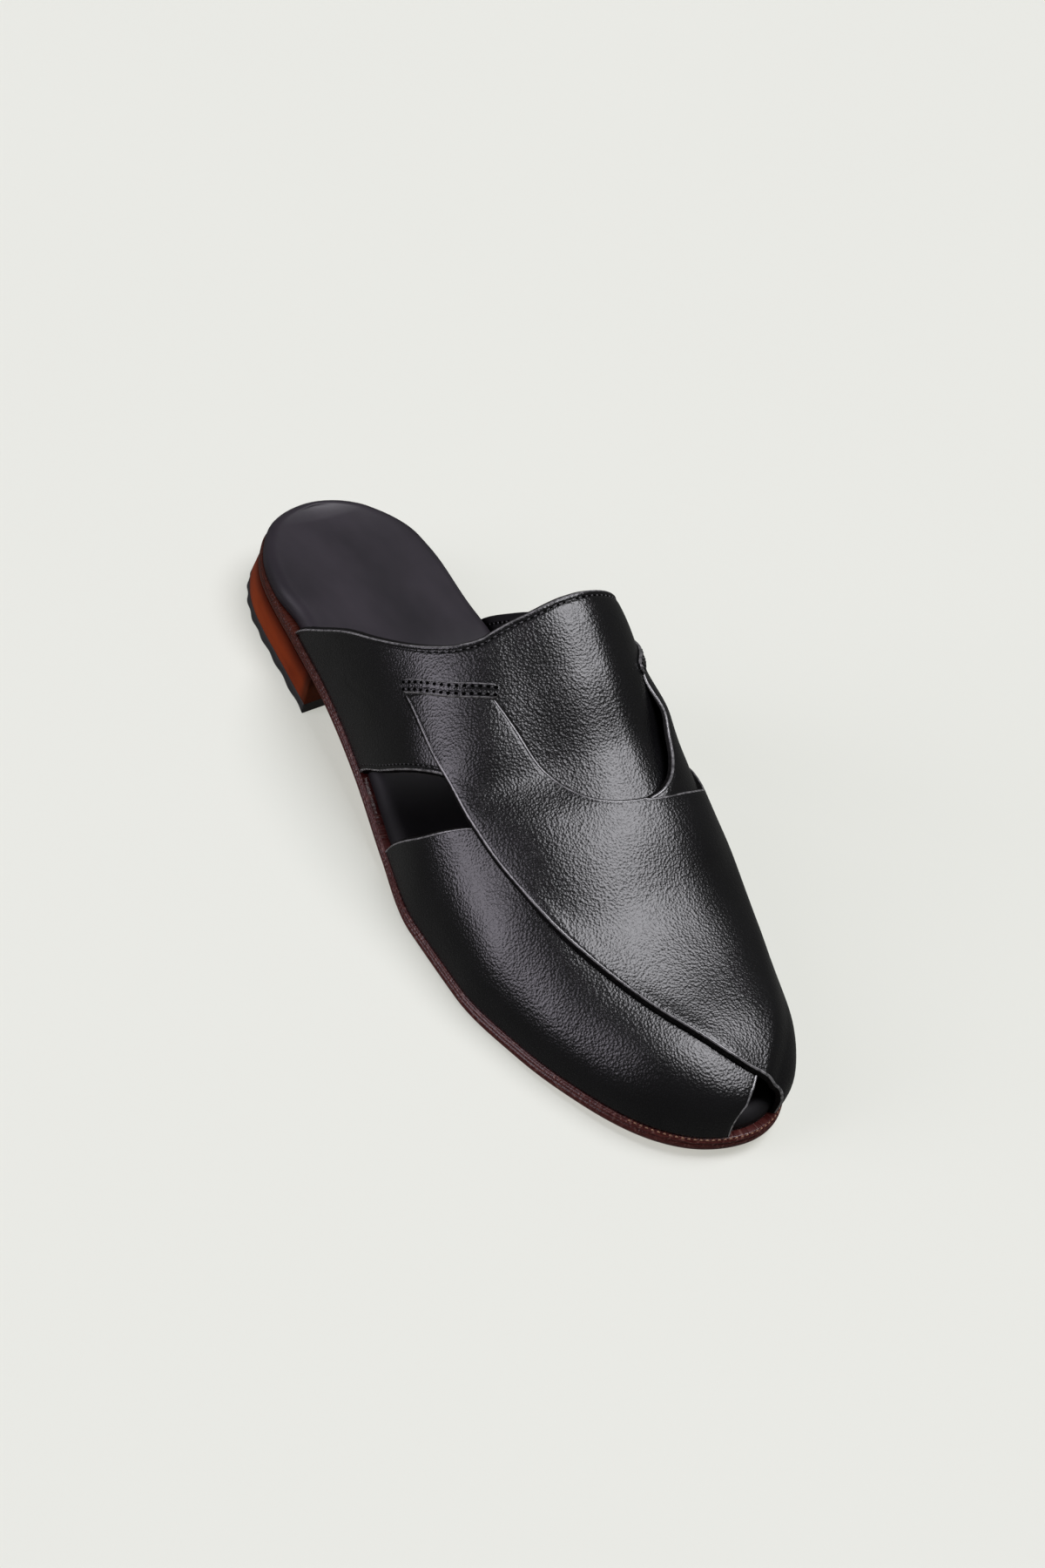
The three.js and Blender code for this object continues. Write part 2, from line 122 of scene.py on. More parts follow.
# around, rear, front
BAND = np.array([
    [-1.00, 0.188, 0.405],
    [-0.90, 0.246, 0.448],
    [-0.80, 0.295, 0.480],
    [-0.70, 0.343, 0.509],
    [-0.60, 0.382, 0.538],
    [-0.50, 0.413, 0.570],
    [-0.40, 0.435, 0.603],
    [-0.30, 0.445, 0.636],
    [-0.15, 0.445, 0.672],
    [0.00, 0.440, 0.685],
    [0.15, 0.438, 0.674],
    [0.30, 0.433, 0.638],
    [0.45, 0.419, 0.588],
    [0.60, 0.393, 0.538],
    [0.75, 0.352, 0.494],
    [0.90, 0.292, 0.448],
    [1.00, 0.243, 0.405],
])

# run, inner edge along and around, outer edge along and around
OVER_STRAP = np.array([
    [0.00, 0.512, -0.325, 0.430, -0.669],
    [0.07, 0.548, -0.280, 0.500, -0.632],
    [0.14, 0.587, -0.238, 0.572, -0.568],
    [0.21, 0.619, -0.183, 0.648, -0.528],
    [0.28, 0.641, -0.115, 0.725, -0.453],
    [0.35, 0.653, -0.030, 0.810, -0.369],
    [0.42, 0.657, 0.070, 0.890, -0.268],
    [0.50, 0.655, 0.210, 0.950, -0.118],
    [0.59, 0.644, 0.410, 0.980, 0.050],
    [0.70, 0.596, 0.575, 0.990, 0.240],
    [0.84, 0.555, 0.790, 0.993, 0.600],
    [1.00, 0.500, 1.000, 0.990, 1.000],
])
UNDER_STRAP = np.array([
    [0.00, 0.526, 0.300, 0.440, 0.660],
    [0.07, 0.556, 0.285, 0.504, 0.630],
    [0.14, 0.587, 0.238, 0.572, 0.568],
    [0.21, 0.619, 0.183, 0.648, 0.528],
    [0.28, 0.641, 0.115, 0.725, 0.453],
    [0.35, 0.653, 0.030, 0.810, 0.369],
    [0.42, 0.657, -0.070, 0.885, 0.275],
    [0.50, 0.653, -0.210, 0.942, 0.150],
    [0.59, 0.636, -0.410, 0.978, 0.020],
    [0.70, 0.596, -0.575, 0.988, -0.020],
    [0.84, 0.555, -0.790, 0.997, -0.230],
    [1.00, 0.500, -1.000, 0.998, -1.000],
])

# run, along, around
BARS = {
    "lateral": np.array([[0.0, 0.420, -0.660], [0.5, 0.470, -0.486], [1.0, 0.505, -0.312]]),
    "medial": np.array([[0.0, 0.430, 0.650], [0.5, 0.482, 0.466], [1.0, 0.520, 0.290]]),
}
BAR_ALONG_PER_WIDTH = 0.75 / LENGTH
BAR_AROUND_PER_WIDTH = 0.42 / BALL_WIDTH
BAR_END = 0.07

# Where the looks differ from the solids: how far the leather is eased over the last (mm), its
# place and spread around and along the last, and the direction of the move
SHOULDER_EASE = 4.3
EASE_AROUND = -0.255
EASE_LATERAL_WIDTH = 0.32
EASE_RIDGE_WIDTH = 0.21
EASE_RISE = 0.35
EASE_END = 0.592
EASE_FADE = 0.165
EASE_DIRECTION = np.array((-0.5395, 0.4840, -0.6890))
RIDGE_RISE = 1.2
RIDGE_WIDTH = 0.12
SLIT_RUN = 0.12
TAPER_START = 0.125
MEDIAL_TAPER_END = 0.235
LIFT_RIB_DEPTH = 0.5

# Cut edges and faces of the leather, in mm, with the reach of the pale painted highlight along the
# edges
EDGE_ROUND = 0.48
EDGE_STEPS = [0.0, 0.03, 0.09, 0.17, 0.27, 0.38, 0.52, 0.7,
              0.95, 1.2, 1.6, 2.0, 2.3, 2.6, 2.9, 3.3]
EDGE_HIGHLIGHT_WIDTH = 0.72
CUT_SLOPE = 0.85
BAR_ROUND = 0.6
# width of the black painted shadow line at a bar's foot
BAR_SHADOW_WIDTH = 0.12
BAR_HIGHLIGHT_WIDTH = 0.62
BAR_SINK = 0.2
BAR_CHANNEL = (0.18, 0.45)
EDGE_LINE_INSET = 0.95
EDGE_LINE_DEPTH = 0.12
EDGE_LINE_WIDTH = 0.24
CHANNEL_DEPTH = 0.28
CHANNEL_WIDTH = 0.5
EDGE_PAD = 0.16
EDGE_PAD_WIDTH = 0.6
LAYER_CLEARANCE = 0.08
UNEVENNESS = 0.10
WAVES = 7
BAND_SEED = 11
UNDER_SEED = 5
OVER_SEED = 9

# Strap edges that stand off what is below: height, thinning and reach in mm, and where along
# the strap's run they start, how long they rise, where they end, and how long they fall
UNDER_STRAP_LIFT = 2.3
UNDER_LIFT_REACH = 9.0
LIFTED_EDGE_THINNING = 0.8
THINNING_REACH = 4.0
UNDER_LIFT_RUN = (0.01, 0.10, 0.30, 0.12)
OVER_STRAP_LIFT = 0.6
OVER_LIFT_REACH = 5.0
OVER_LIFT_RUN = (0.22, 0.12, 0.50, 0.08)

# Stitches, in mm, and the runs around the band that carry them
STITCH_PITCH = 2.35
STITCH_LENGTH = 1.40
BAR_STITCH_LENGTH = 1.30
STITCH_RADIUS = 0.38
STITCH_CLEARANCE = 0.04
HOLE_RADIUS = 0.74
BAR_HOLE_RADIUS = 0.70
HOLE_RISE = 0.05
BAND_STITCH_INSET = 1.85
BAR_STITCH_OFFSET = 1.15
BAR_STITCH_END = 0.035
COLLAR_STITCH_END = 0.985
FRONT_STITCH_ENDS = {"lateral": (-0.985, -0.64), "medial": (0.66, 0.985)}
WELT_PITCH = 1.8
WELT_FROM = 0.93
WELT_INSET = 0.50
WELT_DROP = 0.25
WELT_STITCH_LENGTH = 1.2
WELT_STITCH_RADIUS = 0.26

# How finely the looks are meshed
BAND_RUNS, BAND_MIDDLE = 301, 70
STRAP_RUNS, STRAP_MIDDLE = 261, 60
BAR_RUNS, BAR_SHARES, BAR_END_RUNS = 60, 19, 9
INSOLE_STATIONS, SHOULDER_STEPS, DISH_STEPS = 181, 8, 22
SOLE_STATIONS = 321
HEEL_STATIONS = 130
BREAST_STEPS = 30

# The camera of the photo in the last's frame: place in mm, direction and roll in degrees
CAMERA_AT = (701.97, -497.36, 736.04)
CAMERA_AZIMUTH = -41.898
CAMERA_ELEVATION = 43.549
CAMERA_ROLL = 16.232
CAMERA_LENS = 73.955


# Curves and the last

def smooth(t):
    """Rises from 0 to 1 as t does, with no corner at either end."""
    held = np.clip(t, 0.0, 1.0)
    return held * held * (3 - 2 * held)


def curve(xs, ys, warp=lambda t: t):
    """A smooth curve through a table's column that never overshoots its rows."""
    xs = warp(np.asarray(xs, float))
    ys = np.asarray(ys, float)
    steps = np.diff(xs)
    rates = np.diff(ys) / steps
    slopes = np.concatenate([rates[:1], np.zeros(len(xs) - 2), rates[-1:]])
    for i in range(1, len(xs) - 1):
        if rates[i - 1] * rates[i] > 0:
            before = 2 * steps[i] + steps[i - 1]
            after = steps[i] + 2 * steps[i - 1]
            slopes[i] = (before + after) / (before / rates[i - 1] + after / rates[i])

    def at(value):
        x = np.clip(warp(np.asarray(value, float)), xs[0], xs[-1])
        i = np.clip(np.searchsorted(xs, x, side="right") - 1, 0, len(xs) - 2)
        t = (x - xs[i]) / steps[i]
        pull = steps[i] * (slopes[i] * t * (1 - t) ** 2 - slopes[i + 1] * (1 - t) * t ** 2)
        return ys[i] + (ys[i + 1] - ys[i]) * t * t * (3 - 2 * t) + pull

    return at


def curves(table, warp=lambda t: t):
    """A curve through every column of a table but the first, by the first."""
    return [curve(table[:, 0], column, warp) for column in table.T[1:]]


def turn(along):
    return np.arccos(1 - 2 * np.clip(along, 0.0, 1.0))


def along_of(angle):
    return (1 - np.cos(angle)) / 2


lateral_half, medial_half = curves(OUTLINE, turn)
rise_at, ridge_at, lateral_swell, medial_swell = curves(SECTIONS, turn)
band_rear, band_front = curves(BAND)
under_edge = curve(UNDER_STRAP[::-1, 2], UNDER_STRAP[::-1, 1])
under_reach = curve(UNDER_STRAP[:, 3], UNDER_STRAP[:, 4])


def underside_at(x):
    ground_x = GROUND_FROM * LENGTH
    spring_x = SPRING_FROM * LENGTH
    fall = 1 - smooth((x - HEEL_LENGTH) / (ground_x - HEEL_LENGTH))
    lift = np.clip((x - spring_x) / (LENGTH - spring_x), 0.0, 1.0)
    return HEEL_HEIGHT * fall + TOE_SPRING * lift * lift


def sole_top_at(x):
    return underside_at(x) + SOLE_THICKNESS + GAP


def outline_point(angle, side, inset=0.0):
    """Points of the outline on the lateral (-1) or medial (1) side, moved inward by inset."""
    half = lateral_half if side < 0 else medial_half
    nudge = 0.001
    before = np.maximum(angle - nudge, 0.0)
    after = np.minimum(angle + nudge, math.pi)
    width = BALL_WIDTH * half(along_of(angle))
    dx = LENGTH * np.sin(angle) / 2
    dy = BALL_WIDTH * (half(along_of(after)) - half(along_of(before))) / (after - before)
    size = np.hypot(dx, dy)
    x = LENGTH * along_of(angle) + side * inset * dy / size
    y = width - side * inset * dx / size
    return x, y


def plain_last_point(along, around):
    """Points of the last as the solids have it."""
    angle = turn(along)
    inset = SOLE_LIP + WALL
    lateral_x, lateral_y = outline_point(angle, -1, inset)
    medial_x, medial_y = outline_point(angle, 1, inset)
    centre_x = (lateral_x + medial_x) / 2
    narrow = np.minimum(lateral_y, medial_y)
    wide = np.maximum(lateral_y, medial_y)
    centre_y = np.clip(BALL_WIDTH * ridge_at(along), narrow, wide)
    edge_x = np.where(around < 0, lateral_x, medial_x)
    edge_y = np.where(around < 0, lateral_y, medial_y)
    swell = np.where(around < 0, -lateral_swell(along), medial_swell(along))
    lean = np.abs(around) * math.pi / 2
    across = np.sin(lean) ** (2 / SECTION_POWER)
    up = np.maximum(np.cos(lean), 0.0) ** (2 / SECTION_POWER)
    x = centre_x + (edge_x - centre_x) * across
    y = centre_y + (edge_y - centre_y) * across + BALL_WIDTH * swell * np.sin(2 * lean)
    z = sole_top_at(centre_x) + INSTEP_RISE * rise_at(along) * up
    return np.stack([x, y, z], -1)


def shoulder_ease(along, around):
    """The leather is pulled flatter over the instep's lateral shoulder, close to the ridge."""
    away = around - EASE_AROUND
    across = np.exp(-(away / np.where(away < 0, EASE_LATERAL_WIDTH, EASE_RIDGE_WIDTH)) ** 2)
    ridge = np.exp(-(around / RIDGE_WIDTH) ** 2)
    ends = smooth((around + 1) / EASE_RISE) * (1 - smooth((along - EASE_END) / EASE_FADE))
    return (SHOULDER_EASE * across - RIDGE_RISE * ridge) * ends


def last_point(along, around):
    """Points of the last with the eased shoulder."""
    ease = shoulder_ease(along, around)[..., None]
    return plain_last_point(along, around) + EASE_DIRECTION * ease


def last_normal(along, around):
    step = 0.001
    ahead = last_point(np.minimum(along + step, 1.0), around)
    behind = last_point(along - step, around)
    left = last_point(along, np.minimum(around + step, 1.0))
    right = last_point(along, np.maximum(around - step, -1.0))
    normal = np.cross(ahead - behind, left - right)
    return normal / np.linalg.norm(normal, axis=-1, keepdims=True)


def surface_point(along, around, offset):
    """Points at a height in mm above the last, never below the sole's top."""
    along, around = np.broadcast_arrays(np.asarray(along, float), np.asarray(around, float))
    offset = np.broadcast_to(offset, along.shape)
    point = last_point(along, around) + last_normal(along, around) * offset[..., None]
    point[..., 2] = np.maximum(point[..., 2], sole_top_at(point[..., 0]))
    return point


# Heights of the layers above the last

def tongue_at(along, around):
    """1 on the band and its tongue, falling to 0 in front of it."""
    return 1 - smooth((along - band_front(around)) / TONGUE_FADE)


def under_at(along, around):
    """1 where the under strap lies, falling to 0 beside it."""
    behind = smooth((along - under_edge(around)) / STRAP_STEP_ALONG + 1)
    beside = 1 - smooth((around - under_reach(along)) / STRAP_STEP_AROUND)
    return behind * beside


def slit_rise(run):
    """A strap's rise in walls: it comes up out of its slit and reaches one wall."""
    return SLIT_RISE / WALL + (1 - SLIT_RISE / WALL) * smooth(run / SLIT_RUN)


# The row frame: the solids are centred on their box, so the shift comes from the outsole's box

sole_low, sole_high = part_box("outsole")
all_angles = np.linspace(0, math.pi, 1441)
SHIFT = np.array([
    sole_high[0] / MM - LENGTH,
    sole_low[1] / MM - outline_point(all_angles, -1)[1].min(),
    0.0,
])


def to_row(points):
    return (np.asarray(points) + SHIFT) * MM


# Mesh helpers

def in_scene(name, data):
    placed = bpy.data.objects.new(name, data)
    bpy.context.scene.collection.objects.link(placed)
    return placed


def add_object(name, points, faces, materials, face_materials=None, uvs=None):
    """A smooth-shaded mesh in the row frame that rides on the shoe's one body."""
    mesh = bpy.data.meshes.new(name)
    corners = [tuple(point) for point in to_row(points)]
    mesh.from_pydata(corners, [], [tuple(map(int, face)) for face in faces])
    for finish in materials:
        mesh.materials.append(finish)
    if face_materials is not None:
        mesh.polygons.foreach_set("material_index", np.asarray(face_materials, np.int32))
    if uvs is not None:
        layer = mesh.uv_layers.new(name="measure")
        loop_vertices = np.empty(len(mesh.loops), np.int32)
        mesh.loops.foreach_get("vertex_index", loop_vertices)
        layer.data.foreach_set("uv", np.asarray(uvs, np.float32)[loop_vertices].ravel())
    mesh.polygons.foreach_set("use_smooth", np.ones(len(mesh.polygons), bool))
    mesh.validate()
    mesh.update()
    piece = in_scene(name, mesh)
    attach(piece, BODY)
    return piece


def grid_faces(rows, columns, start=0, flip=False, wrap=False):
    """Quads between rows x columns points; wrap joins the last column to the first."""
    faces = []
    reach = columns if wrap else columns - 1
    for row in range(rows - 1):
        for column in range(reach):
            a = start + row * columns + column
            b = start + row * columns + (column + 1) % columns
            quad = (a, b, b + columns, a + columns)
            faces.append(quad[::-1] if flip else quad)
    return faces


def shell(outer, inner):
    """Points, faces and a mark per face (0 outer, 1 inner, 2 rim) of a closed sheet."""
    rows, columns = outer.shape[:2]
    points = np.concatenate([outer.reshape(-1, 3), inner.reshape(-1, 3)])
    layer = rows * columns
    top = grid_faces(rows, columns)
    below = grid_faces(rows, columns, layer, flip=True)
    ring = [(0, c) for c in range(columns - 1)]
    ring += [(r, columns - 1) for r in range(rows - 1)]
    ring += [(rows - 1, c) for c in range(columns - 1, 0, -1)]
    ring += [(r, 0) for r in range(rows - 1, 0, -1)]
    loop = [r * columns + c for r, c in ring]
    rim = [(b, a, a + layer, b + layer) for a, b in zip(loop, loop[1:] + loop[:1])]
    marks = [0] * len(top) + [1] * len(below) + [2] * len(rim)
    return points, top + below + rim, marks


def arc_along(points):
    """The distance walked along a line of points."""
    steps = np.linalg.norm(np.diff(points, axis=0), axis=1)
    return np.concatenate([[0], np.cumsum(steps)])


# Sheets of leather on the last

def sheet_grid(place, runs, middle, inset=0.0):
    """Places on the last, close together at the two long edges. Gives along and around, the
    distance in mm from the in-edge and from the out-edge, and the run of every point."""
    fine = np.linspace(0, 1, 61)
    rows = []
    near = np.array(EDGE_STEPS)
    for run in runs:
        fine_along, fine_around = place(run, fine)
        arc = arc_along(last_point(fine_along, fine_around))
        moved = min(inset, 0.1 * arc[-1])
        width = arc[-1] - 2 * moved
        edge = near * min(1.0, 0.45 * width / near[-1])
        between = np.linspace(edge[-1], width - edge[-1], middle + 2)[1:-1]
        distance = np.concatenate([edge, between, width - edge[::-1]])
        share = np.interp(distance + moved, arc, fine)
        rows.append([*place(run, share), distance, width - distance, np.full_like(share, run)])
    return np.array(rows).swapaxes(0, 1)


def rolled(distance, radius=EDGE_ROUND):
    """How far a rounded edge falls below the sheet's face, by distance from the edge."""
    inside = np.clip(distance / radius, 0.0, 1.0)
    return radius * (1 - np.sqrt(1 - (1 - inside) ** 2))


def ripple(along, around, seed):
    """A slight unevenness of hand-lasted leather."""
    source = random.Random(seed)
    total = np.zeros_like(along)
    for _ in range(WAVES):
        turns_along = source.uniform(4, 13)
        turns_around = source.uniform(1.5, 6)
        phase = source.uniform(0, 2 * math.pi)
        run = 2 * math.pi * turns_along * along + turns_around * math.pi * around
        total += np.sin(run + phase)
    return UNEVENNESS * total / WAVES


# Creases: two ends on the last (along, around), depth and width in mm
OVER_CREASES = [
    (0.700, -0.395, 0.752, -0.372, 0.13, 2.4),
    (0.672, -0.330, 0.705, -0.352, 0.10, 2.2),
    (0.596, -0.262, 0.606, -0.245, 0.16, 0.9),
    (0.622, -0.222, 0.634, -0.205, 0.16, 0.9),
    (0.634, -0.262, 0.628, -0.228, 0.14, 0.8),
    (0.640, -0.300, 0.652, -0.258, 0.10, 1.2),
    (0.560, -0.420, 0.590, -0.330, 0.08, 1.8),
]
UNDER_CREASES = [
    (0.600, 0.420, 0.640, 0.500, 0.12, 1.8),
]
BAND_CREASES = [
    (0.330, -0.900, 0.400, -0.800, 0.12, 2.0),
    (0.300, 0.950, 0.380, 0.860, 0.12, 2.0),
]


def creased(points, normals, creases):
    """Pushes points inward along short lines, with a faint swelling beside each."""
    for along_a, around_a, along_b, around_b, depth, width in creases:
        a = surface_point(along_a, around_a, WALL)
        b = surface_point(along_b, around_b, WALL)
        direction = b - a
        share = np.clip(((points - a) @ direction) / (direction @ direction), 0.0, 1.0)
        away = np.linalg.norm(points - (a + share[..., None] * direction), axis=-1) / width
        push = depth * (1 - 0.8 * away * away) * np.exp(-away * away)
        points = points - normals * push[..., None]
    return points


def edge_line_relief(from_in, from_out):
    """A creased line that runs along both cut edges of a strap."""
    nearest = np.minimum(from_in, from_out)
    return -EDGE_LINE_DEPTH * np.exp(-((nearest - EDGE_LINE_INSET) / EDGE_LINE_WIDTH) ** 2)


def stitched_relief(from_in, from_out):
    """The stitching pulls a channel into the leather and leaves a soft roll at the edge."""
    nearest = np.minimum(from_in, from_out)
    channel = CHANNEL_DEPTH * np.exp(-((nearest - BAND_STITCH_INSET) / CHANNEL_WIDTH) ** 2)
    roll = EDGE_PAD * np.exp(-((nearest - 0.5 * BAND_STITCH_INSET) / EDGE_PAD_WIDTH) ** 2)
    return roll - channel


def sheet_piece(name, place, runs, middle, low, high, creases, seed, relief, lift=None):
    """One sheet of leather from height low to height high above the last."""
    low_along, low_around = sheet_grid(place, runs, middle)[:2]
    along, around, from_in, from_out, run = sheet_grid(place, runs, middle, CUT_SLOPE)
    nearest = np.minimum(from_in, from_out)
    edge_fall = rolled(nearest)
    lifted, thinned = (0, 0) if lift is None else lift(run, from_in, from_out)
    base = low(low_along, low_around) + lifted + thinned
    top = high(along, around, run) + lifted
    normals = last_normal(along, around)
    face = top - edge_fall + relief(from_in, from_out) + ripple(along, around, seed)
    outer = creased(surface_point(along, around, face), normals, creases)
    inner = surface_point(low_along, low_around, base + 0.25 * edge_fall)
    points, faces, marks = shell(outer, inner)
    # Faces close to the cut edges get a pale finish: a painted highlight along the edge
    near_edge = (nearest < EDGE_HIGHLIGHT_WIDTH).ravel()
    kinds = []
    for face, mark in zip(faces, marks):
        edge_highlight = mark == 0 and all(near_edge[i] for i in face)
        kinds.append(3 if edge_highlight else mark)
    finishes = [leather, lining, cut_face, painted_highlight_edge]
    return add_object(name, points, faces, finishes, kinds)


def strap_place(strap):
    in_along, in_around, out_along, out_around = curves(strap)

    def place(run, share):
        near = turn(in_along(run))
        far = turn(out_along(run))
        along = along_of(near + (far - near) * share)
        around = in_around(run) + (out_around(run) - in_around(run)) * share
        return along, around

    return place


def band_place(around, share):
    rear = band_rear(around)
    along = rear + (band_front(around) - rear) * share
    return along, np.full_like(along, around)


# Threads

def stitch_axes(direction, normal):
    """Unit vectors along a stitch, across it and out of the leather."""
    direction = direction / np.linalg.norm(direction)
    side = np.cross(normal, direction)
    side /= np.linalg.norm(side)
    return direction, side, np.cross(direction, side)


def threads(name, places, finish, length, radius, sink=0.35, sides=8, rings=7):
    """Short stitches. places holds (centre, direction, normal) of each, in the last's frame."""
    points = []
    faces = []
    for centre, direction, normal in places:
        direction, side, up = stitch_axes(direction, normal)
        start = len(points)
        for ring in range(rings):
            share = ring / (rings - 1) * 2 - 1
            girth = radius * max(1 - abs(share) ** 2.6, 0.0) ** 0.5
            arch = -0.9 * radius * share * share
            middle = centre + direction * (share * length / 2) + up * (arch - sink * radius)
            for corner in range(sides):
                angle = 2 * math.pi * corner / sides
                points.append(middle + girth * (side * math.cos(angle) + up * math.sin(angle)))
        faces += grid_faces(rings, sides, start, wrap=True)
    return add_object(name, np.array(points), faces, [finish])


def holes(name, places, radius):
    """Painted shade of pinholes: dark shallow discs that lie in the leather's face."""
    points = []
    faces = []
    sides = 10
    for centre, direction, normal in places:
        direction, side, up = stitch_axes(direction, normal)
        start = len(points)
        points.append(centre + up * HOLE_RISE)
        for corner in range(sides):
            angle = 2 * math.pi * corner / sides
            spoke = direction * math.cos(angle) + 0.8 * side * math.sin(angle)
            points.append(centre + radius * spoke)
        faces += [(start, start + 1 + k, start + 1 + (k + 1) % sides) for k in range(sides)]
    return add_object(name, np.array(points), faces, [painted_hole_shade])


def along_line(points, normals, pitch):
    """Evenly spaced (centre, direction, normal) on a line of points."""
    reach = 0.3
    arc = arc_along(points)
    count = max(int(arc[-1] / pitch), 1)
    at = (np.arange(count) + 0.5) * arc[-1] / count

    def values_at(values, at):
        return np.stack([np.interp(at, arc, values[:, k]) for k in range(3)], 1)

    direction = values_at(points, at + reach) - values_at(points, at - reach)
    return list(zip(values_at(points, at), direction, values_at(normals, at)))


def between_stitches(places):
    """Hole places at both ends of each stitch."""
    found = []
    for centre, direction, normal in places:
        half = direction / np.linalg.norm(direction) * STITCH_PITCH / 2
        found.append((centre - half, direction, normal))
    found.append((centre + half, direction, normal))
    return found


# Materials

def set_inputs(node, numbers):
    for socket, number in numbers.items():
        node.inputs[socket].default_value = number


class Finish:
    """A material in the making. Scales are numbers of features in a metre."""

    def __init__(self, name, color, roughness, specular=0.5):
        self.material = bpy.data.materials.new(name)
        self.material.use_nodes = True
        self.tree = self.material.node_tree
        self.shader = self.tree.nodes["Principled BSDF"]
        set_inputs(self.shader, {
            "Base Color": (*color, 1), "Roughness": roughness, "Specular IOR Level": specular})
        self.coords = self.add("TexCoord").outputs["Object"]

    def add(self, kind, **numbers):
        node = self.tree.nodes.new("ShaderNode" + kind)
        set_inputs(node, numbers)
        return node

    def link(self, source, node, socket):
        self.tree.links.new(source, node.inputs[socket])

    def split(self, source):
        """The X, Y and Z of a place."""
        node = self.add("SeparateXYZ")
        self.link(source, node, "Vector")
        return node.outputs

    def noise(self, scale, detail=2.0, roughness=0.5, stretch=None, source=None):
        node = self.add("TexNoise", Scale=scale, Detail=detail, Roughness=roughness)
        place = self.coords if source is None else source
        if stretch is not None:
            mapping = self.add("Mapping", Scale=stretch)
            self.link(place, mapping, "Vector")
            place = mapping.outputs["Vector"]
        self.link(place, node, "Vector")
        return node.outputs["Fac"]

    def cells(self, scale):
        node = self.add("TexVoronoi", Scale=scale)
        self.link(self.coords, node, "Vector")
        return node.outputs["Distance"]

    def ramp(self, value, *stops):
        """A colour by value, from stops of position and colour."""
        node = self.add("ValToRGB")
        elements = node.color_ramp.elements
        while len(elements) < len(stops):
            elements.new(0.5)
        for element, (position, color) in zip(elements, stops):
            element.position = position
            element.color = (*color, 1)
        self.link(value, node, "Fac")
        return node.outputs["Color"]

    def mapped(self, value, low, high, to_low=0.0, to_high=1.0):
        limits = {"From Min": low, "From Max": high, "To Min": to_low, "To Max": to_high}
        node = self.add("MapRange", **limits)
        self.link(value, node, "Value")
        return node.outputs["Result"]

    def mix(self, factor, first, second, blend="MIX"):
        """A colour between two colours, or the first multiplied by the second."""
        node = self.add("Mix")
        node.data_type = "RGBA"
        node.blend_type = blend
        named = {socket.identifier: socket for socket in node.inputs}
        if isinstance(factor, float):
            named["Factor_Float"].default_value = factor
        else:
            self.tree.links.new(factor, named["Factor_Float"])
        self.tree.links.new(first, named["A_Color"])
        self.tree.links.new(second, named["B_Color"])
        return [socket for socket in node.outputs if socket.identifier == "Result_Color"][0]

    def product(self, first, second):
        node = self.add("Math")
        node.operation = "MULTIPLY"
        self.link(first, node, 0)
        self.link(second, node, 1)
        return node.outputs["Value"]

    def paint(self, color):
        self.link(color, self.shader, "Base Color")

    def shade(self, value, dark, light, low=0.3, high=0.7):
        self.paint(self.ramp(value, (low, dark), (high, light)))

    def roughen(self, value, rough, low=0.3, high=0.7):
        self.link(self.mapped(value, low, high, *rough), self.shader, "Roughness")

    def bump(self, *layers):
        """Stacks bump layers (height, strength, distance in mm) on the shader's normal."""
        normal = None
        for height, strength, distance in layers:
            node = self.add("Bump", Strength=strength, Distance=distance * MM)
            self.link(height, node, "Height")
            if normal is not None:
                self.link(normal, node, "Normal")
            normal = node.outputs["Normal"]
        self.link(normal, self.shader, "Normal")


# Places in the row frame (m) where a finish changes: the insole's part under the upper (painted
# shade),
# # the dark red edge of the heel seat, and the top of the heel and its breast (painted shade)
UPPER_SHADE_X = (-0.040, -0.005)
SEAT_X = (-0.085, -0.045)
HEEL_TOP_SHADE_Z = (0.0095, 0.0150)
BREAST_SHADE_X = (-0.0735, -0.0705)
WHITE = (1, 1, 1)


def make_leather():
    """Black leather with a fine pebble, more open than its grain, over broad soft waves."""
    finish = Finish("black_leather", (0.003, 0.003, 0.0033), 0.25)
    pebble = finish.cells(1230)
    grain = finish.noise(2250)
    broad = finish.noise(60, 3.0)
    finish.shade(broad, (0.0022, 0.0022, 0.0025), (0.0038, 0.0037, 0.0042))
    finish.roughen(grain, (0.22, 0.28))
    finish.bump((broad, 0.2, 0.35), (pebble, 0.75, 0.13), (grain, 0.55, 0.09))
    return finish.material


def make_insole_leather():
    """Satin leather with painted shade and a duller finish where the upper covers it."""
    finish = Finish("insole_leather", (0.020, 0.0165, 0.021), 0.38, specular=0.30)
    grain = finish.noise(1600)
    broad = finish.noise(34, 3.0, stretch=(0.55, 1.0, 1.0))
    dark, light = (0.0105, 0.0090, 0.0118), (0.0275, 0.0232, 0.0290)
    open_color = finish.ramp(broad, (0.34, dark), (0.66, light))
    # Painted shade: the insole is darkened where the upper covers it and shade falls; the same
    # mask dulls it
    shade_under_upper = finish.mapped(finish.split(finish.coords)["X"], *UPPER_SHADE_X)
    shade = finish.ramp(shade_under_upper, (0.0, WHITE), (1.0, (0.22, 0.22, 0.22)))
    finish.paint(finish.mix(1.0, open_color, shade, "MULTIPLY"))
    finish.roughen(shade_under_upper, (0.46, 0.75), 0.0, 1.0)
    finish.bump((broad, 0.5, 1.0), (grain, 0.22, 0.04))
    return finish.material


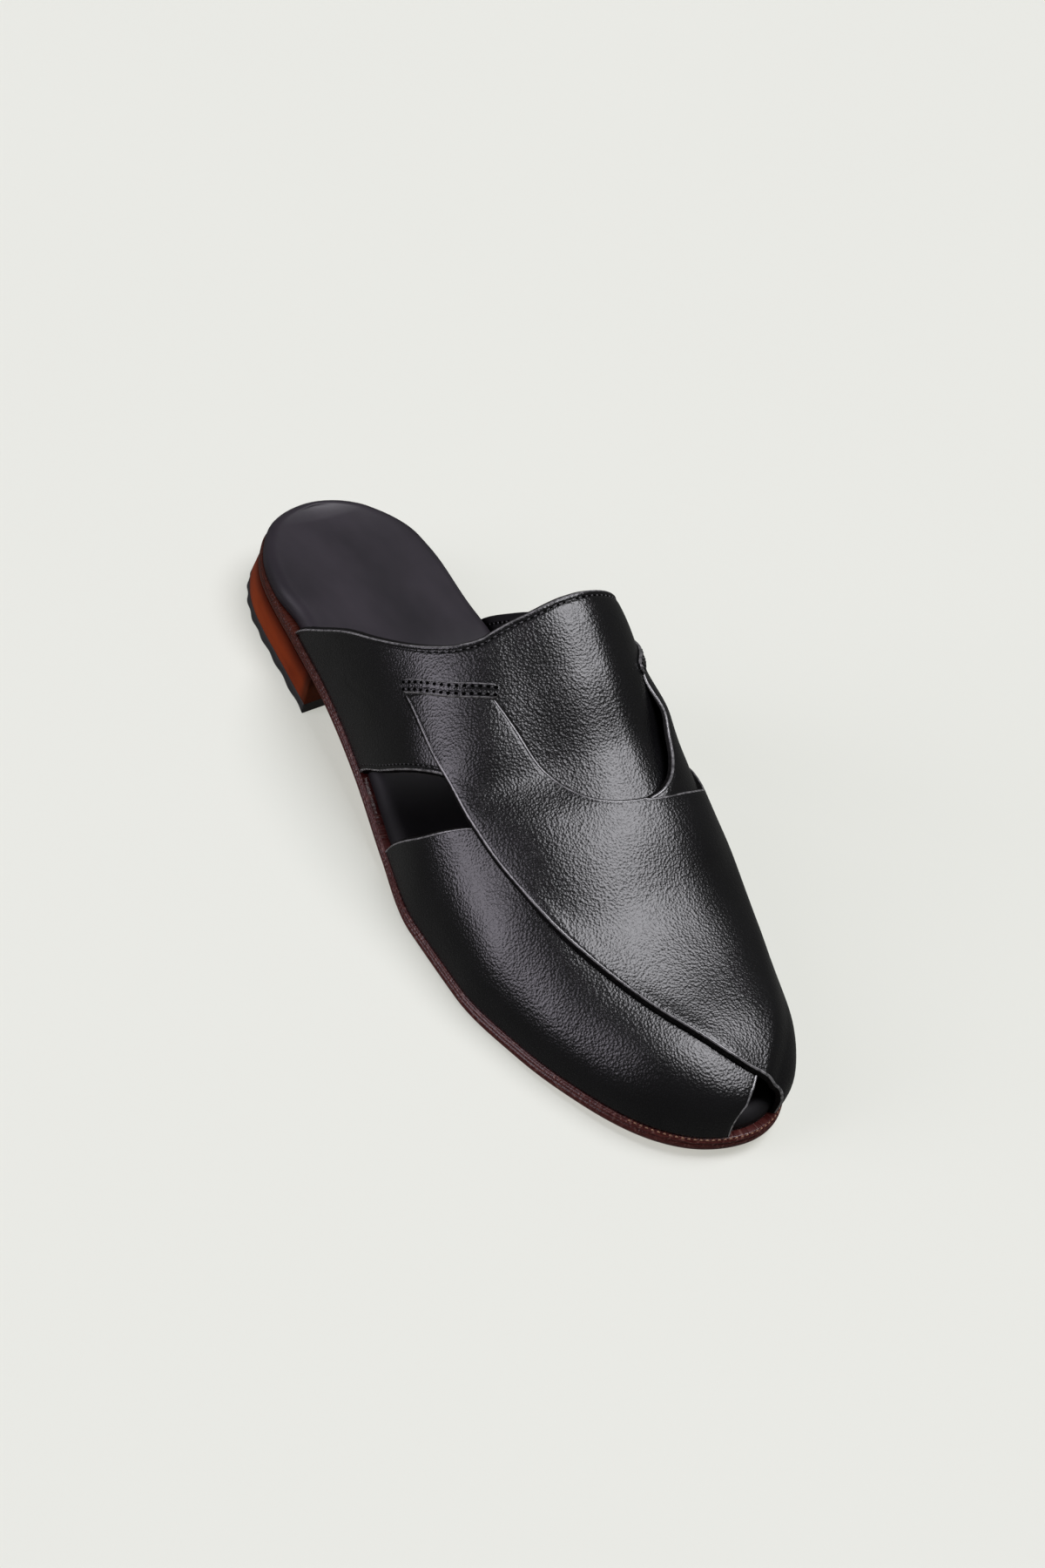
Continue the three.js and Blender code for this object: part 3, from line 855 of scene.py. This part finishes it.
def make_sole_edge():
    """Stained leather, dark red at the heel seat, with pale specks of painted highlight on its
    ridges in front.
    Its noises run along the edge, in the mm of the "measure" UVs."""
    finish = Finish("sole_edge", (0.05, 0.013, 0.011), 0.3, specular=0.33)
    measure = finish.add("UVMap")
    measure.uv_map = "measure"
    uv = measure.outputs["UV"]
    fibres = finish.noise(1.0, 4.0, 0.65, (0.35, 2.6, 1.0), uv)
    beads = finish.noise(1.0, 2.0, 0.6, (0.95, 0.8, 1.0), uv)
    front = finish.ramp(
        fibres,
        (0.25, (0.019, 0.0028, 0.0026)),
        (0.5, (0.046, 0.0082, 0.0072)),
        (0.75, (0.090, 0.021, 0.017)))
    seat = finish.ramp(fibres, (0.3, (0.022, 0.0035, 0.002)), (0.7, (0.060, 0.011, 0.005)))
    forward = finish.mapped(finish.split(finish.coords)["X"], *SEAT_X)
    stained = finish.mix(forward, seat, front)
    # Painted highlight: pale specks on the ridges in front stand in for glints of light
    pale = finish.ramp(beads, (0.0, (0.17, 0.085, 0.07)), (1.0, (0.26, 0.14, 0.115)))
    on_ridges = finish.mapped(finish.split(uv)["Y"], 1.0, 1.8, 0.0, 0.5)
    painted_glints = finish.product(finish.mapped(beads, 0.56, 0.70), on_ridges)
    finish.paint(finish.mix(finish.product(painted_glints, forward), stained, pale))
    finish.roughen(fibres, (0.20, 0.36))
    finish.bump((fibres, 0.35, 0.12), (beads, 0.8, 0.30))
    return finish.material


def make_tread():
    finish = Finish("sole_tread", (0.30, 0.16, 0.085), 0.5)
    fibres = finish.noise(90, 4.0, 0.6, stretch=(0.35, 1.0, 1.0))
    pores = finish.noise(1200)
    finish.shade(fibres, (0.20, 0.10, 0.05), (0.36, 0.20, 0.11))
    finish.roughen(fibres, (0.42, 0.6))
    finish.bump((fibres, 0.2, 0.2), (pores, 0.25, 0.05))
    return finish.material


def make_heel_leather():
    """Orange-brown layers with stains, and painted shade under the sole and on the breast."""
    finish = Finish("heel_leather", (0.15, 0.025, 0.005), 0.4, specular=0.05)
    place = finish.split(finish.coords)
    layers = finish.noise(55, 4.0, 0.6, stretch=(0.25, 0.25, 2.4))
    stains = finish.noise(42, 3.0)
    color = finish.ramp(
        layers,
        (0.25, (0.115, 0.014, 0.0030)),
        (0.5, (0.170, 0.024, 0.0042)),
        (0.78, (0.225, 0.038, 0.0070)))
    stained = finish.ramp(stains, (0.3, (0.5, 0.42, 0.40)), (0.62, WHITE))
    color = finish.mix(0.6, color, stained, "MULTIPLY")
    # Painted shade: darker towards the top under the sole, and on the breast under the arch
    for axis, reach, shade in (("Z", HEEL_TOP_SHADE_Z, (0.30, 0.24, 0.26)),
                               ("X", BREAST_SHADE_X, (0.45, 0.62, 1.0))):
        dark = finish.ramp(finish.mapped(place[axis], *reach), (0.0, WHITE), (1.0, shade))
        color = finish.mix(1.0, color, dark, "MULTIPLY")
    finish.paint(color)
    finish.roughen(layers, (0.32, 0.48))
    finish.bump((layers, 0.22, 0.12), (stains, 0.15, 0.3))
    return finish.material


def one_noise(name, color, roughness, specular, noise, shades=None, rough=None, relief=None):
    """A finish whose colour, roughness and bump all follow one noise (scale, detail)."""
    finish = Finish(name, color, roughness, specular)
    grain = finish.noise(*noise)
    if shades:
        finish.shade(grain, *shades)
    if rough:
        finish.roughen(grain, rough)
    if relief:
        finish.bump((grain, *relief))
    return finish.material


def make_thread(name, color):
    shades = [tuple(share * c for c in color) for share in (0.6, 1.5)]
    return one_noise(name, color, 0.5, 0.5, (2600, 2.0), shades, relief=(0.5, 0.08))


leather = make_leather()
lining = one_noise(
    "black_lining", (0.005, 0.0048, 0.0055), 0.5, 0.25, (1400, 2.0),
    rough=(0.44, 0.58), relief=(0.3, 0.06))
cut_face = one_noise(
    "cut_face", (0.003, 0.003, 0.003), 0.6, 0.12, (900, 3.0),
    ((0.0015, 0.0015, 0.0015), (0.0055, 0.005, 0.005), 0.35), (0.5, 0.7), (0.3, 0.08))
# A pale grey finish: painted highlight along the rounded cut edges
painted_highlight_edge = one_noise(
    "painted_highlight_edge", (0.13, 0.127, 0.13), 0.25, 1.0, (700, 2.0),
    ((0.050, 0.049, 0.051), (0.17, 0.166, 0.17), 0.35, 0.65), (0.16, 0.28), (0.2, 0.05))
insole_leather = make_insole_leather()
sole_edge = make_sole_edge()
sole_tread = make_tread()
heel_leather = make_heel_leather()
rubber = one_noise(
    "black_rubber", (0.012, 0.012, 0.012), 0.62, 0.5, (800, 3.0),
    ((0.009, 0.009, 0.009), (0.018, 0.018, 0.018)), (0.5, 0.72), (0.4, 0.08))
black_thread = make_thread("black_thread", (0.034, 0.033, 0.035))
welt_thread = make_thread("welt_thread", (0.22, 0.11, 0.065))
# Near-black matte discs: painted shade in the stitch holes
painted_hole_shade = one_noise(
    "painted_stitch_hole_shade", (0.001, 0.001, 0.001), 1.0, 0.0, (2500, 1.0),
    ((0.0006, 0.0006, 0.0006), (0.0018, 0.0018, 0.0018)))


# Upper

def build_band():
    runs = np.linspace(-1, 1, BAND_RUNS)
    return sheet_piece(
        "instep_band", band_place, runs, BAND_MIDDLE,
        lambda along, around: 0.0 * along,
        lambda along, around, run: WALL + 0.0 * along,
        BAND_CREASES, BAND_SEED, stitched_relief)


def strap_piece(name, strap, low, high, creases, seed, lift):
    runs = np.linspace(0, 1, STRAP_RUNS)
    sheet_piece(name, strap_place(strap), runs, STRAP_MIDDLE, low, high, creases, seed,
                edge_line_relief, lift)


def strap_low(along, around):
    return tongue_at(along, around) * WALL + LAYER_CLEARANCE


def stretch_of(run, start, rise, end, fall):
    """1 over a stretch of a strap's run, with soft ends."""
    return smooth((run - start) / rise) * (1 - smooth((run - end) / fall))


def under_lift(run, from_in, from_out):
    """The under strap's inner edge stands off the tongue and is thin there."""
    rise = stretch_of(run, *UNDER_LIFT_RUN)
    lifted = UNDER_STRAP_LIFT * rise * np.exp(-(from_in / UNDER_LIFT_REACH) ** 2)
    thinned = LIFTED_EDGE_THINNING * rise * np.exp(-(from_in / THINNING_REACH) ** 2)
    return lifted, thinned


def build_under_strap():
    strap_piece(
        "under_strap", UNDER_STRAP, strap_low,
        lambda along, around, run: WALL * (tongue_at(along, around) + slit_rise(run)),
        UNDER_CREASES, UNDER_SEED, under_lift)


def over_lift(run, from_in, from_out):
    """The over strap's outer edge stands a little off the strap below it towards the toe."""
    rise = stretch_of(run, *OVER_LIFT_RUN)
    return OVER_STRAP_LIFT * rise * np.exp(-(from_out / OVER_LIFT_REACH) ** 2), 0.0


def build_over_strap():
    def low(along, around):
        return strap_low(along, around) + WALL * under_at(along, around)

    def high(along, around, run):
        return WALL * (tongue_at(along, around) + under_at(along, around) + slit_rise(run))

    strap_piece("over_strap", OVER_STRAP, low, high, OVER_CREASES, OVER_SEED, over_lift)


def bar_place(bar, run, share):
    """Places on a bar with rounded ends, and how full its width is there."""
    along, around = curves(bar)
    side = math.copysign(1, bar[0, 2])
    to_end = np.minimum(np.minimum(run, 1 - run), BAR_END) / BAR_END
    fullness = np.sqrt(1 - (1 - to_end) ** 2)
    off_centre = BAR_WIDTH * (share - 0.5) * fullness
    place_along = along(run) + off_centre * BAR_ALONG_PER_WIDTH
    place_around = around(run) + side * off_centre * BAR_AROUND_PER_WIDTH
    return place_along, place_around, fullness


def build_bar(name, bar):
    ends = BAR_END * (1 - np.cos(np.linspace(0, math.pi / 2, BAR_END_RUNS)))
    between = np.linspace(BAR_END, 1 - BAR_END, BAR_RUNS)[1:-1]
    runs = np.concatenate([ends, between, 1 - ends[::-1]])
    shares = along_of(np.linspace(0, math.pi, BAR_SHARES))
    run, share = np.meshgrid(runs, shares, indexing="ij")
    along, around, fullness = bar_place(bar, run, share)
    half_width = BAR_WIDTH / 2 * np.maximum(fullness, 1e-3)
    to_side = half_width * (1 - np.abs(2 * share - 1))
    rise = BAR_RISE + SLIT_RISE
    fall = rolled(to_side, BAR_ROUND) * rise / BAR_ROUND
    depth, width = BAR_CHANNEL
    channel = depth * np.exp(-(((share - 0.5) * BAR_WIDTH) / width) ** 2)
    outer = surface_point(along, around, WALL + rise - fall - channel * fullness)
    inner = surface_point(along, around, WALL - BAR_SINK)
    points, faces, marks = shell(outer, inner)
    # The bar's foot gets the black cut-face finish: a painted shadow line where the bar meets the
    # leather below
    painted_shadow_line = (to_side < BAR_SHADOW_WIDTH).ravel()
    # Faces near the bar's sides get the pale painted highlight
    edge = (to_side < BAR_HIGHLIGHT_WIDTH).ravel()
    kinds = []
    for face, mark in zip(faces, marks):
        if mark or all(painted_shadow_line[i] for i in face):
            kinds.append(2)
        else:
            kinds.append(1 if all(edge[i] for i in face) else 0)
    return add_object(name, points, faces, [leather, painted_highlight_edge, cut_face], kinds)


def stitch_line(name, along, around, height, inward=False,
                length=STITCH_LENGTH, hole=HOLE_RADIUS):
    """A row of stitches with the painted shade of its pinholes, on the last at a height, or inside
    the shoe.
    """
    normals = last_normal(along, around) * (-1 if inward else 1)
    points = surface_point(along, around, height)
    places = along_line(points, normals, STITCH_PITCH)
    threads(name, places, black_thread, length, STITCH_RADIUS)
    holes(name + "_holes", between_stitches(places), hole)


def edge_line(edge, other, around, inset):
    """Places at a distance in mm from one edge of the band towards the other."""
    nudge = 0.01
    start = edge(around)
    step = np.sign(other(around) - start) * nudge
    ahead = last_point(start + step, around) - last_point(start, around)
    across = last_point(start, around + nudge) - last_point(start, around - nudge)
    forward = last_point(start + nudge, around) - last_point(start, around)
    slope = np.gradient(start, around)
    course = across / (2 * nudge) + forward / nudge * slope[:, None]
    course /= np.linalg.norm(course, axis=1, keepdims=True)
    square = ahead - course * np.sum(ahead * course, axis=1, keepdims=True)
    return start + step * inset / np.maximum(np.linalg.norm(square, axis=1), 1e-6)


def channel_floor(along, around):
    """The height of the stitches in the band's channels."""
    return WALL - CHANNEL_DEPTH + ripple(along, around, BAND_SEED) + STITCH_CLEARANCE


def build_upper():
    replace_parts(build_band(), "upper")
    build_under_strap()
    build_over_strap()
    for name, bar in BARS.items():
        build_bar(f"{name}_bar", bar)

    around = np.linspace(-COLLAR_STITCH_END, COLLAR_STITCH_END, 500)
    rear_line = edge_line(band_rear, band_front, around, BAND_STITCH_INSET + CUT_SLOPE)
    stitch_line("band_rear_stitches", rear_line, around, channel_floor(rear_line, around))
    stitch_line("band_inner_stitches", rear_line, around, 0.0, inward=True)
    for name, ends in FRONT_STITCH_ENDS.items():
        around = np.linspace(*ends, 160)
        front_line = edge_line(band_front, band_rear, around, BAND_STITCH_INSET + CUT_SLOPE)
        stitch_line(f"band_front_{name}_stitches", front_line, around,
                    channel_floor(front_line, around))
    for name, bar in BARS.items():
        for row, side in (("upper", -1), ("lower", 1)):
            run = np.linspace(BAR_STITCH_END, 1 - BAR_STITCH_END, 120)
            share = 0.5 + side * BAR_STITCH_OFFSET / BAR_WIDTH
            along, around, _ = bar_place(bar, run, np.full_like(run, share))
            stitch_line(
                f"{name}_bar_{row}_stitches", along, around, WALL + BAR_RISE + SLIT_RISE,
                length=BAR_STITCH_LENGTH, hole=BAR_HOLE_RADIUS)


# Insole

def insole_inset(along, side):
    """The insole is wide at the heel seat and tapers to fit between the upper's walls."""
    inside = SOLE_LIP + WALL + SIDE_GAP
    end = FEATHER_START if side < 0 else MEDIAL_TAPER_END
    change = smooth((along - TAPER_START) / (end - TAPER_START))
    return INSOLE_SEAT_INSET + (inside - INSOLE_SEAT_INSET) * change


def build_insole():
    flank = 0.35 * INSOLE_THICKNESS
    rings = []
    for angle in np.linspace(0, math.pi, INSOLE_STATIONS):
        along = along_of(angle)

        def point(side, inset, height):
            x, y = outline_point(angle, side, insole_inset(along, side) + inset)
            return np.array([x, y, sole_top_at(x) + height])

        def edge(side):
            found = [point(side, 0.0, 0.0), point(side, 0.0, flank)]
            for i in range(SHOULDER_STEPS + 1):
                lean = math.pi / 2 * i / SHOULDER_STEPS
                height = INSOLE_THICKNESS - INSOLE_SHOULDER * (1 - math.sin(lean))
                if height > flank:
                    found.append(point(side, INSOLE_SHOULDER * (1 - math.cos(lean)), height))
            return found

        lateral, medial = edge(-1), edge(1)
        start, end = lateral[-1], medial[-1]
        width = min(np.linalg.norm(end - start) / (BALL_WIDTH / 3), 1.0)
        dish = []
        for i in range(1, DISH_STEPS):
            share = i / DISH_STEPS
            across = start + (end - start) * share
            across[2] -= INSOLE_DISH * width * math.sin(math.pi * share)
            dish.append(across)
        rings.append(lateral + dish + medial[::-1])
    grid = np.array(rings)
    rows, columns = grid.shape[:2]
    faces = grid_faces(rows, columns, flip=True, wrap=True)
    insole = add_object("footbed", grid.reshape(-1, 3), faces, [insole_leather])
    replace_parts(insole, "insole")


# Sole and heel

# inset and height of the sole's side in mm, from the tread over the groove to the lip
SOLE_PROFILE = np.array([
    (2.0, 0.0), (0.80, 0.0), (0.52, 0.12), (0.34, 0.40), (0.22, 0.72),
    (0.08, 0.95), (0.0, 1.25), (-0.04, 1.6), (-0.04, 1.95), (0.0, 2.3),
    (0.12, 2.58), (0.36, 2.74), (0.44, 2.88), (0.36, 3.02), (0.12, 3.14),
    (0.02, 3.34), (0.0, 3.6), (0.04, 3.84), (0.16, 4.04), (0.34, 4.2),
    (0.44, 4.42), (0.52, 4.72), (0.68, 4.92), (0.95, 5.0), (3.0, 5.0),
])


def build_outsole():
    angles = np.linspace(0, math.pi, SOLE_STATIONS)
    columns = []
    arcs = []
    for side in (-1, 1):
        arc = arc_along(np.stack(outline_point(angles, side), 1))
        for inset, height in (SOLE_PROFILE if side < 0 else SOLE_PROFILE[::-1]):
            x, y = outline_point(angles, side, inset)
            columns.append(np.stack([x, y, underside_at(x) + height], 1))
            arcs.append(np.stack([side * arc, np.full_like(arc, height)], 1))
    grid = np.stack(columns, 1)
    uvs = np.stack(arcs, 1)
    rows, count = grid.shape[:2]
    faces = grid_faces(rows, count, flip=True, wrap=True)
    tread_columns = (0, count - 2, count - 1)
    kinds = [int(column in tread_columns) for column in range(count)] * (rows - 1)
    outsole = add_object(
        "leather_outsole", grid.reshape(-1, 3), faces, [sole_edge, sole_tread],
        kinds, uvs.reshape(-1, 2))
    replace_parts(outsole, "outsole")

    places = []
    for side in (-1, 1):
        angle = turn(np.linspace(WELT_FROM, 1.0, 400))
        x, y = outline_point(angle, side, WELT_INSET)
        line = np.stack([x, y, underside_at(x) + SOLE_THICKNESS - WELT_DROP], 1)
        up = np.tile([0.0, 0.0, 1.0], (len(line), 1))
        places += along_line(line, up, WELT_PITCH)
    threads("welt_stitches", places, welt_thread,
            WELT_STITCH_LENGTH, WELT_STITCH_RADIUS, sink=0.3)


# inset of the heel from the sole's outline, and height and inset of its parts' rounded edges
HEEL_INSET = 0.2
STACK_GAP = 0.02
STACK_LOW_EDGE = [(0.0, 0.35), (0.12, 0.12), (0.4, 0.0)]
STACK_TOP_EDGE = [(-0.4, 0.0), (0.0, 0.2)]
LIFT_LEVELS = [(0.0, 0.5), (0.12, 0.2), (0.4, 0.0), (1.4, 0.0), (2.4, 0.0), (3.3, 0.0),
               (3.8, 0.05), (3.95, 0.2)]


def heel_plan(height, extra=lambda angle: 0.0 * angle, inset=0.0):
    """The heel's plan outline at a height, anticlockwise."""
    breast_angle = float(turn(HEEL_LENGTH / LENGTH))
    depth = 1 - height / HEEL_HEIGHT
    sides = []
    for which in (1, -1):
        angle = np.linspace(0, breast_angle, HEEL_STATIONS + 1)
        out = -HEEL_FLARE * depth + HEEL_INSET + inset
        x, y = outline_point(angle, which, out + extra(which * angle))
        rake = HEEL_RAKE * depth * (1 - x / HEEL_LENGTH)
        sides.append(np.stack([x - rake, y], 1))
    medial, lateral = sides[0][::-1], sides[1][1:]
    start, end = lateral[-1], medial[0]
    share = np.arange(1, BREAST_STEPS) / BREAST_STEPS
    breast = start + (end - start) * share[:, None]
    breast[:, 0] -= BREAST_HOLLOW * 4 * share * (1 - share)
    return np.concatenate([medial, lateral, breast])


def stacked(name, levels, plan, finish):
    """A solid of plan outlines one above another, with both ends closed."""
    rings = []
    for level in levels:
        flat = plan(level)
        rings.append(np.column_stack([flat, np.full(len(flat), level[0])]))
    count = len(rings[0])
    points = np.concatenate(rings)
    faces = grid_faces(len(rings), count, wrap=True)
    faces.append(tuple(range(count))[::-1])
    top = (len(rings) - 1) * count
    faces.append(tuple(range(top, top + count)))
    piece = add_object(name, points, faces, [finish])
    flags = np.ones(len(piece.data.polygons), bool)
    flags[-2:] = False
    piece.data.polygons.foreach_set("use_smooth", flags)
    return piece


def build_heel():
    low, top = LIFT_THICKNESS, HEEL_HEIGHT - STACK_GAP
    levels = [(low + height, inset) for height, inset in STACK_LOW_EDGE]
    levels += [(low + (top - low) * share, 0.0) for share in (0.25, 0.5, 0.75)]
    levels += [(top + height, inset) for height, inset in STACK_TOP_EDGE]
    heel = stacked(
        "stacked_heel", levels, lambda level: heel_plan(level[0], inset=level[1]),
        heel_leather)
    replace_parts(heel, "heel_stack")

    def ribs(angle):
        wave = np.cos(2 * math.pi * np.abs(angle) * LENGTH / 4 / LIFT_RIB_PITCH)
        return LIFT_RIB_DEPTH * (1 - wave) / 2

    def lift_plan(level):
        height, inset = level
        fade = 1 - smooth(height / LIFT_THICKNESS)
        return heel_plan(height, lambda angle: ribs(angle) * fade, inset)

    lift = stacked("rubber_top_lift", LIFT_LEVELS, lift_plan, rubber)
    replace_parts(lift, "top_lift")


# Floor, lights and camera

FLOOR_COLOR = (0.30, 0.303, 0.285)
FLOOR_GLOW = (0.440, 0.446, 0.410)
FLOOR_REACH = 8.0
BACKDROP_COLOR = (0.80, 0.81, 0.77)
BACKDROP_SIDES = 96
WORLD_COLOR = (0.80, 0.805, 0.77)
WORLD_STRENGTH = 0.12
# azimuth from +X towards +Y, elevation and spread in degrees, strength, colour
SUNS = {
    "key": (68, 74, 38, 3.1, (1.0, 0.99, 1.04)),
    "lateral_low": (-105, 17, 36, 1.25, (1.0, 0.94, 1.07)),
    "lateral_high": (-102, 43, 24, 0.42, (1.0, 0.94, 1.07)),
}


def add_stage(name, points, faces, finish):
    """A stage mesh in metres, hidden from glossy reflections so that black leather stays black."""
    mesh = bpy.data.meshes.new(name)
    mesh.from_pydata(points, [], faces)
    mesh.materials.append(finish.material)
    stage = in_scene(name, mesh)
    stage.visible_glossy = False
    return stage


def build_floor():
    finish = Finish("floor", FLOOR_COLOR, 0.9, specular=0.0)
    set_inputs(finish.shader, {"Emission Color": (*FLOOR_GLOW, 1), "Emission Strength": 1.0})
    lighter = tuple(1.01 * c for c in FLOOR_COLOR)
    finish.shade(finish.noise(6), FLOOR_COLOR, lighter)
    far = FLOOR_REACH
    corners = [(-far, -far, 0), (far, -far, 0), (far, far, 0), (-far, far, 0)]
    add_stage("floor", corners, [(0, 1, 2, 3)], finish)


def build_backdrop():
    """A pale wall far behind the shoe. Only the camera sees it."""
    finish = Finish("backdrop", (0.0, 0.0, 0.0), 1.0, specular=0.0)
    set_inputs(finish.shader, {"Emission Strength": 1.0})
    darker = tuple(0.995 * c for c in BACKDROP_COLOR)
    color = finish.ramp(finish.noise(0.02, 1.0), (0.3, darker), (0.7, BACKDROP_COLOR))
    finish.link(color, finish.shader, "Emission Color")
    turns = np.linspace(0, 2 * math.pi, BACKDROP_SIDES, endpoint=False)
    points = [(FLOOR_REACH * math.cos(t), FLOOR_REACH * math.sin(t), z)
              for z in (-1.0, FLOOR_REACH) for t in turns]
    faces = grid_faces(2, BACKDROP_SIDES, wrap=True)
    backdrop = add_stage("backdrop", points, faces, finish)
    backdrop.visible_diffuse = False
    backdrop.visible_shadow = False


def direction_from(azimuth, elevation):
    """Unit vector at an azimuth from +X towards +Y, and an elevation."""
    a, e = math.radians(azimuth), math.radians(elevation)
    return Vector((math.cos(a) * math.cos(e), math.sin(a) * math.cos(e), math.sin(e)))


def build_lights():
    for name, (azimuth, elevation, spread, strength, color) in SUNS.items():
        data = bpy.data.lights.new(name, "SUN")
        data.angle = math.radians(spread)
        data.energy = strength
        data.color = color
        lamp = in_scene(name, data)
        away = direction_from(azimuth, elevation)
        lamp.location = away * 3
        lamp.rotation_mode = "QUATERNION"
        lamp.rotation_quaternion = away.to_track_quat("Z", "Y")
    world = bpy.data.worlds.new("studio")
    world.use_nodes = True
    background = world.node_tree.nodes["Background"]
    set_inputs(background, {"Color": (*WORLD_COLOR, 1), "Strength": WORLD_STRENGTH})
    bpy.context.scene.world = world


def build_camera():
    data = bpy.data.cameras.new("camera")
    data.lens = CAMERA_LENS
    data.sensor_width = 36.0
    data.clip_start = 0.01
    data.clip_end = 60.0
    camera = in_scene("camera", data)
    camera.location = Vector(to_row(CAMERA_AT))
    level = direction_from(CAMERA_AZIMUTH, CAMERA_ELEVATION).to_track_quat("Z", "Y")
    camera.rotation_mode = "QUATERNION"
    camera.rotation_quaternion = level @ Quaternion((0, 0, 1), math.radians(CAMERA_ROLL))
    bpy.context.scene.camera = camera


bpy.context.scene.view_settings.view_transform = "Standard"
build_camera()
build_floor()
build_backdrop()
build_lights()
build_outsole()
build_heel()
build_insole()
build_upper()
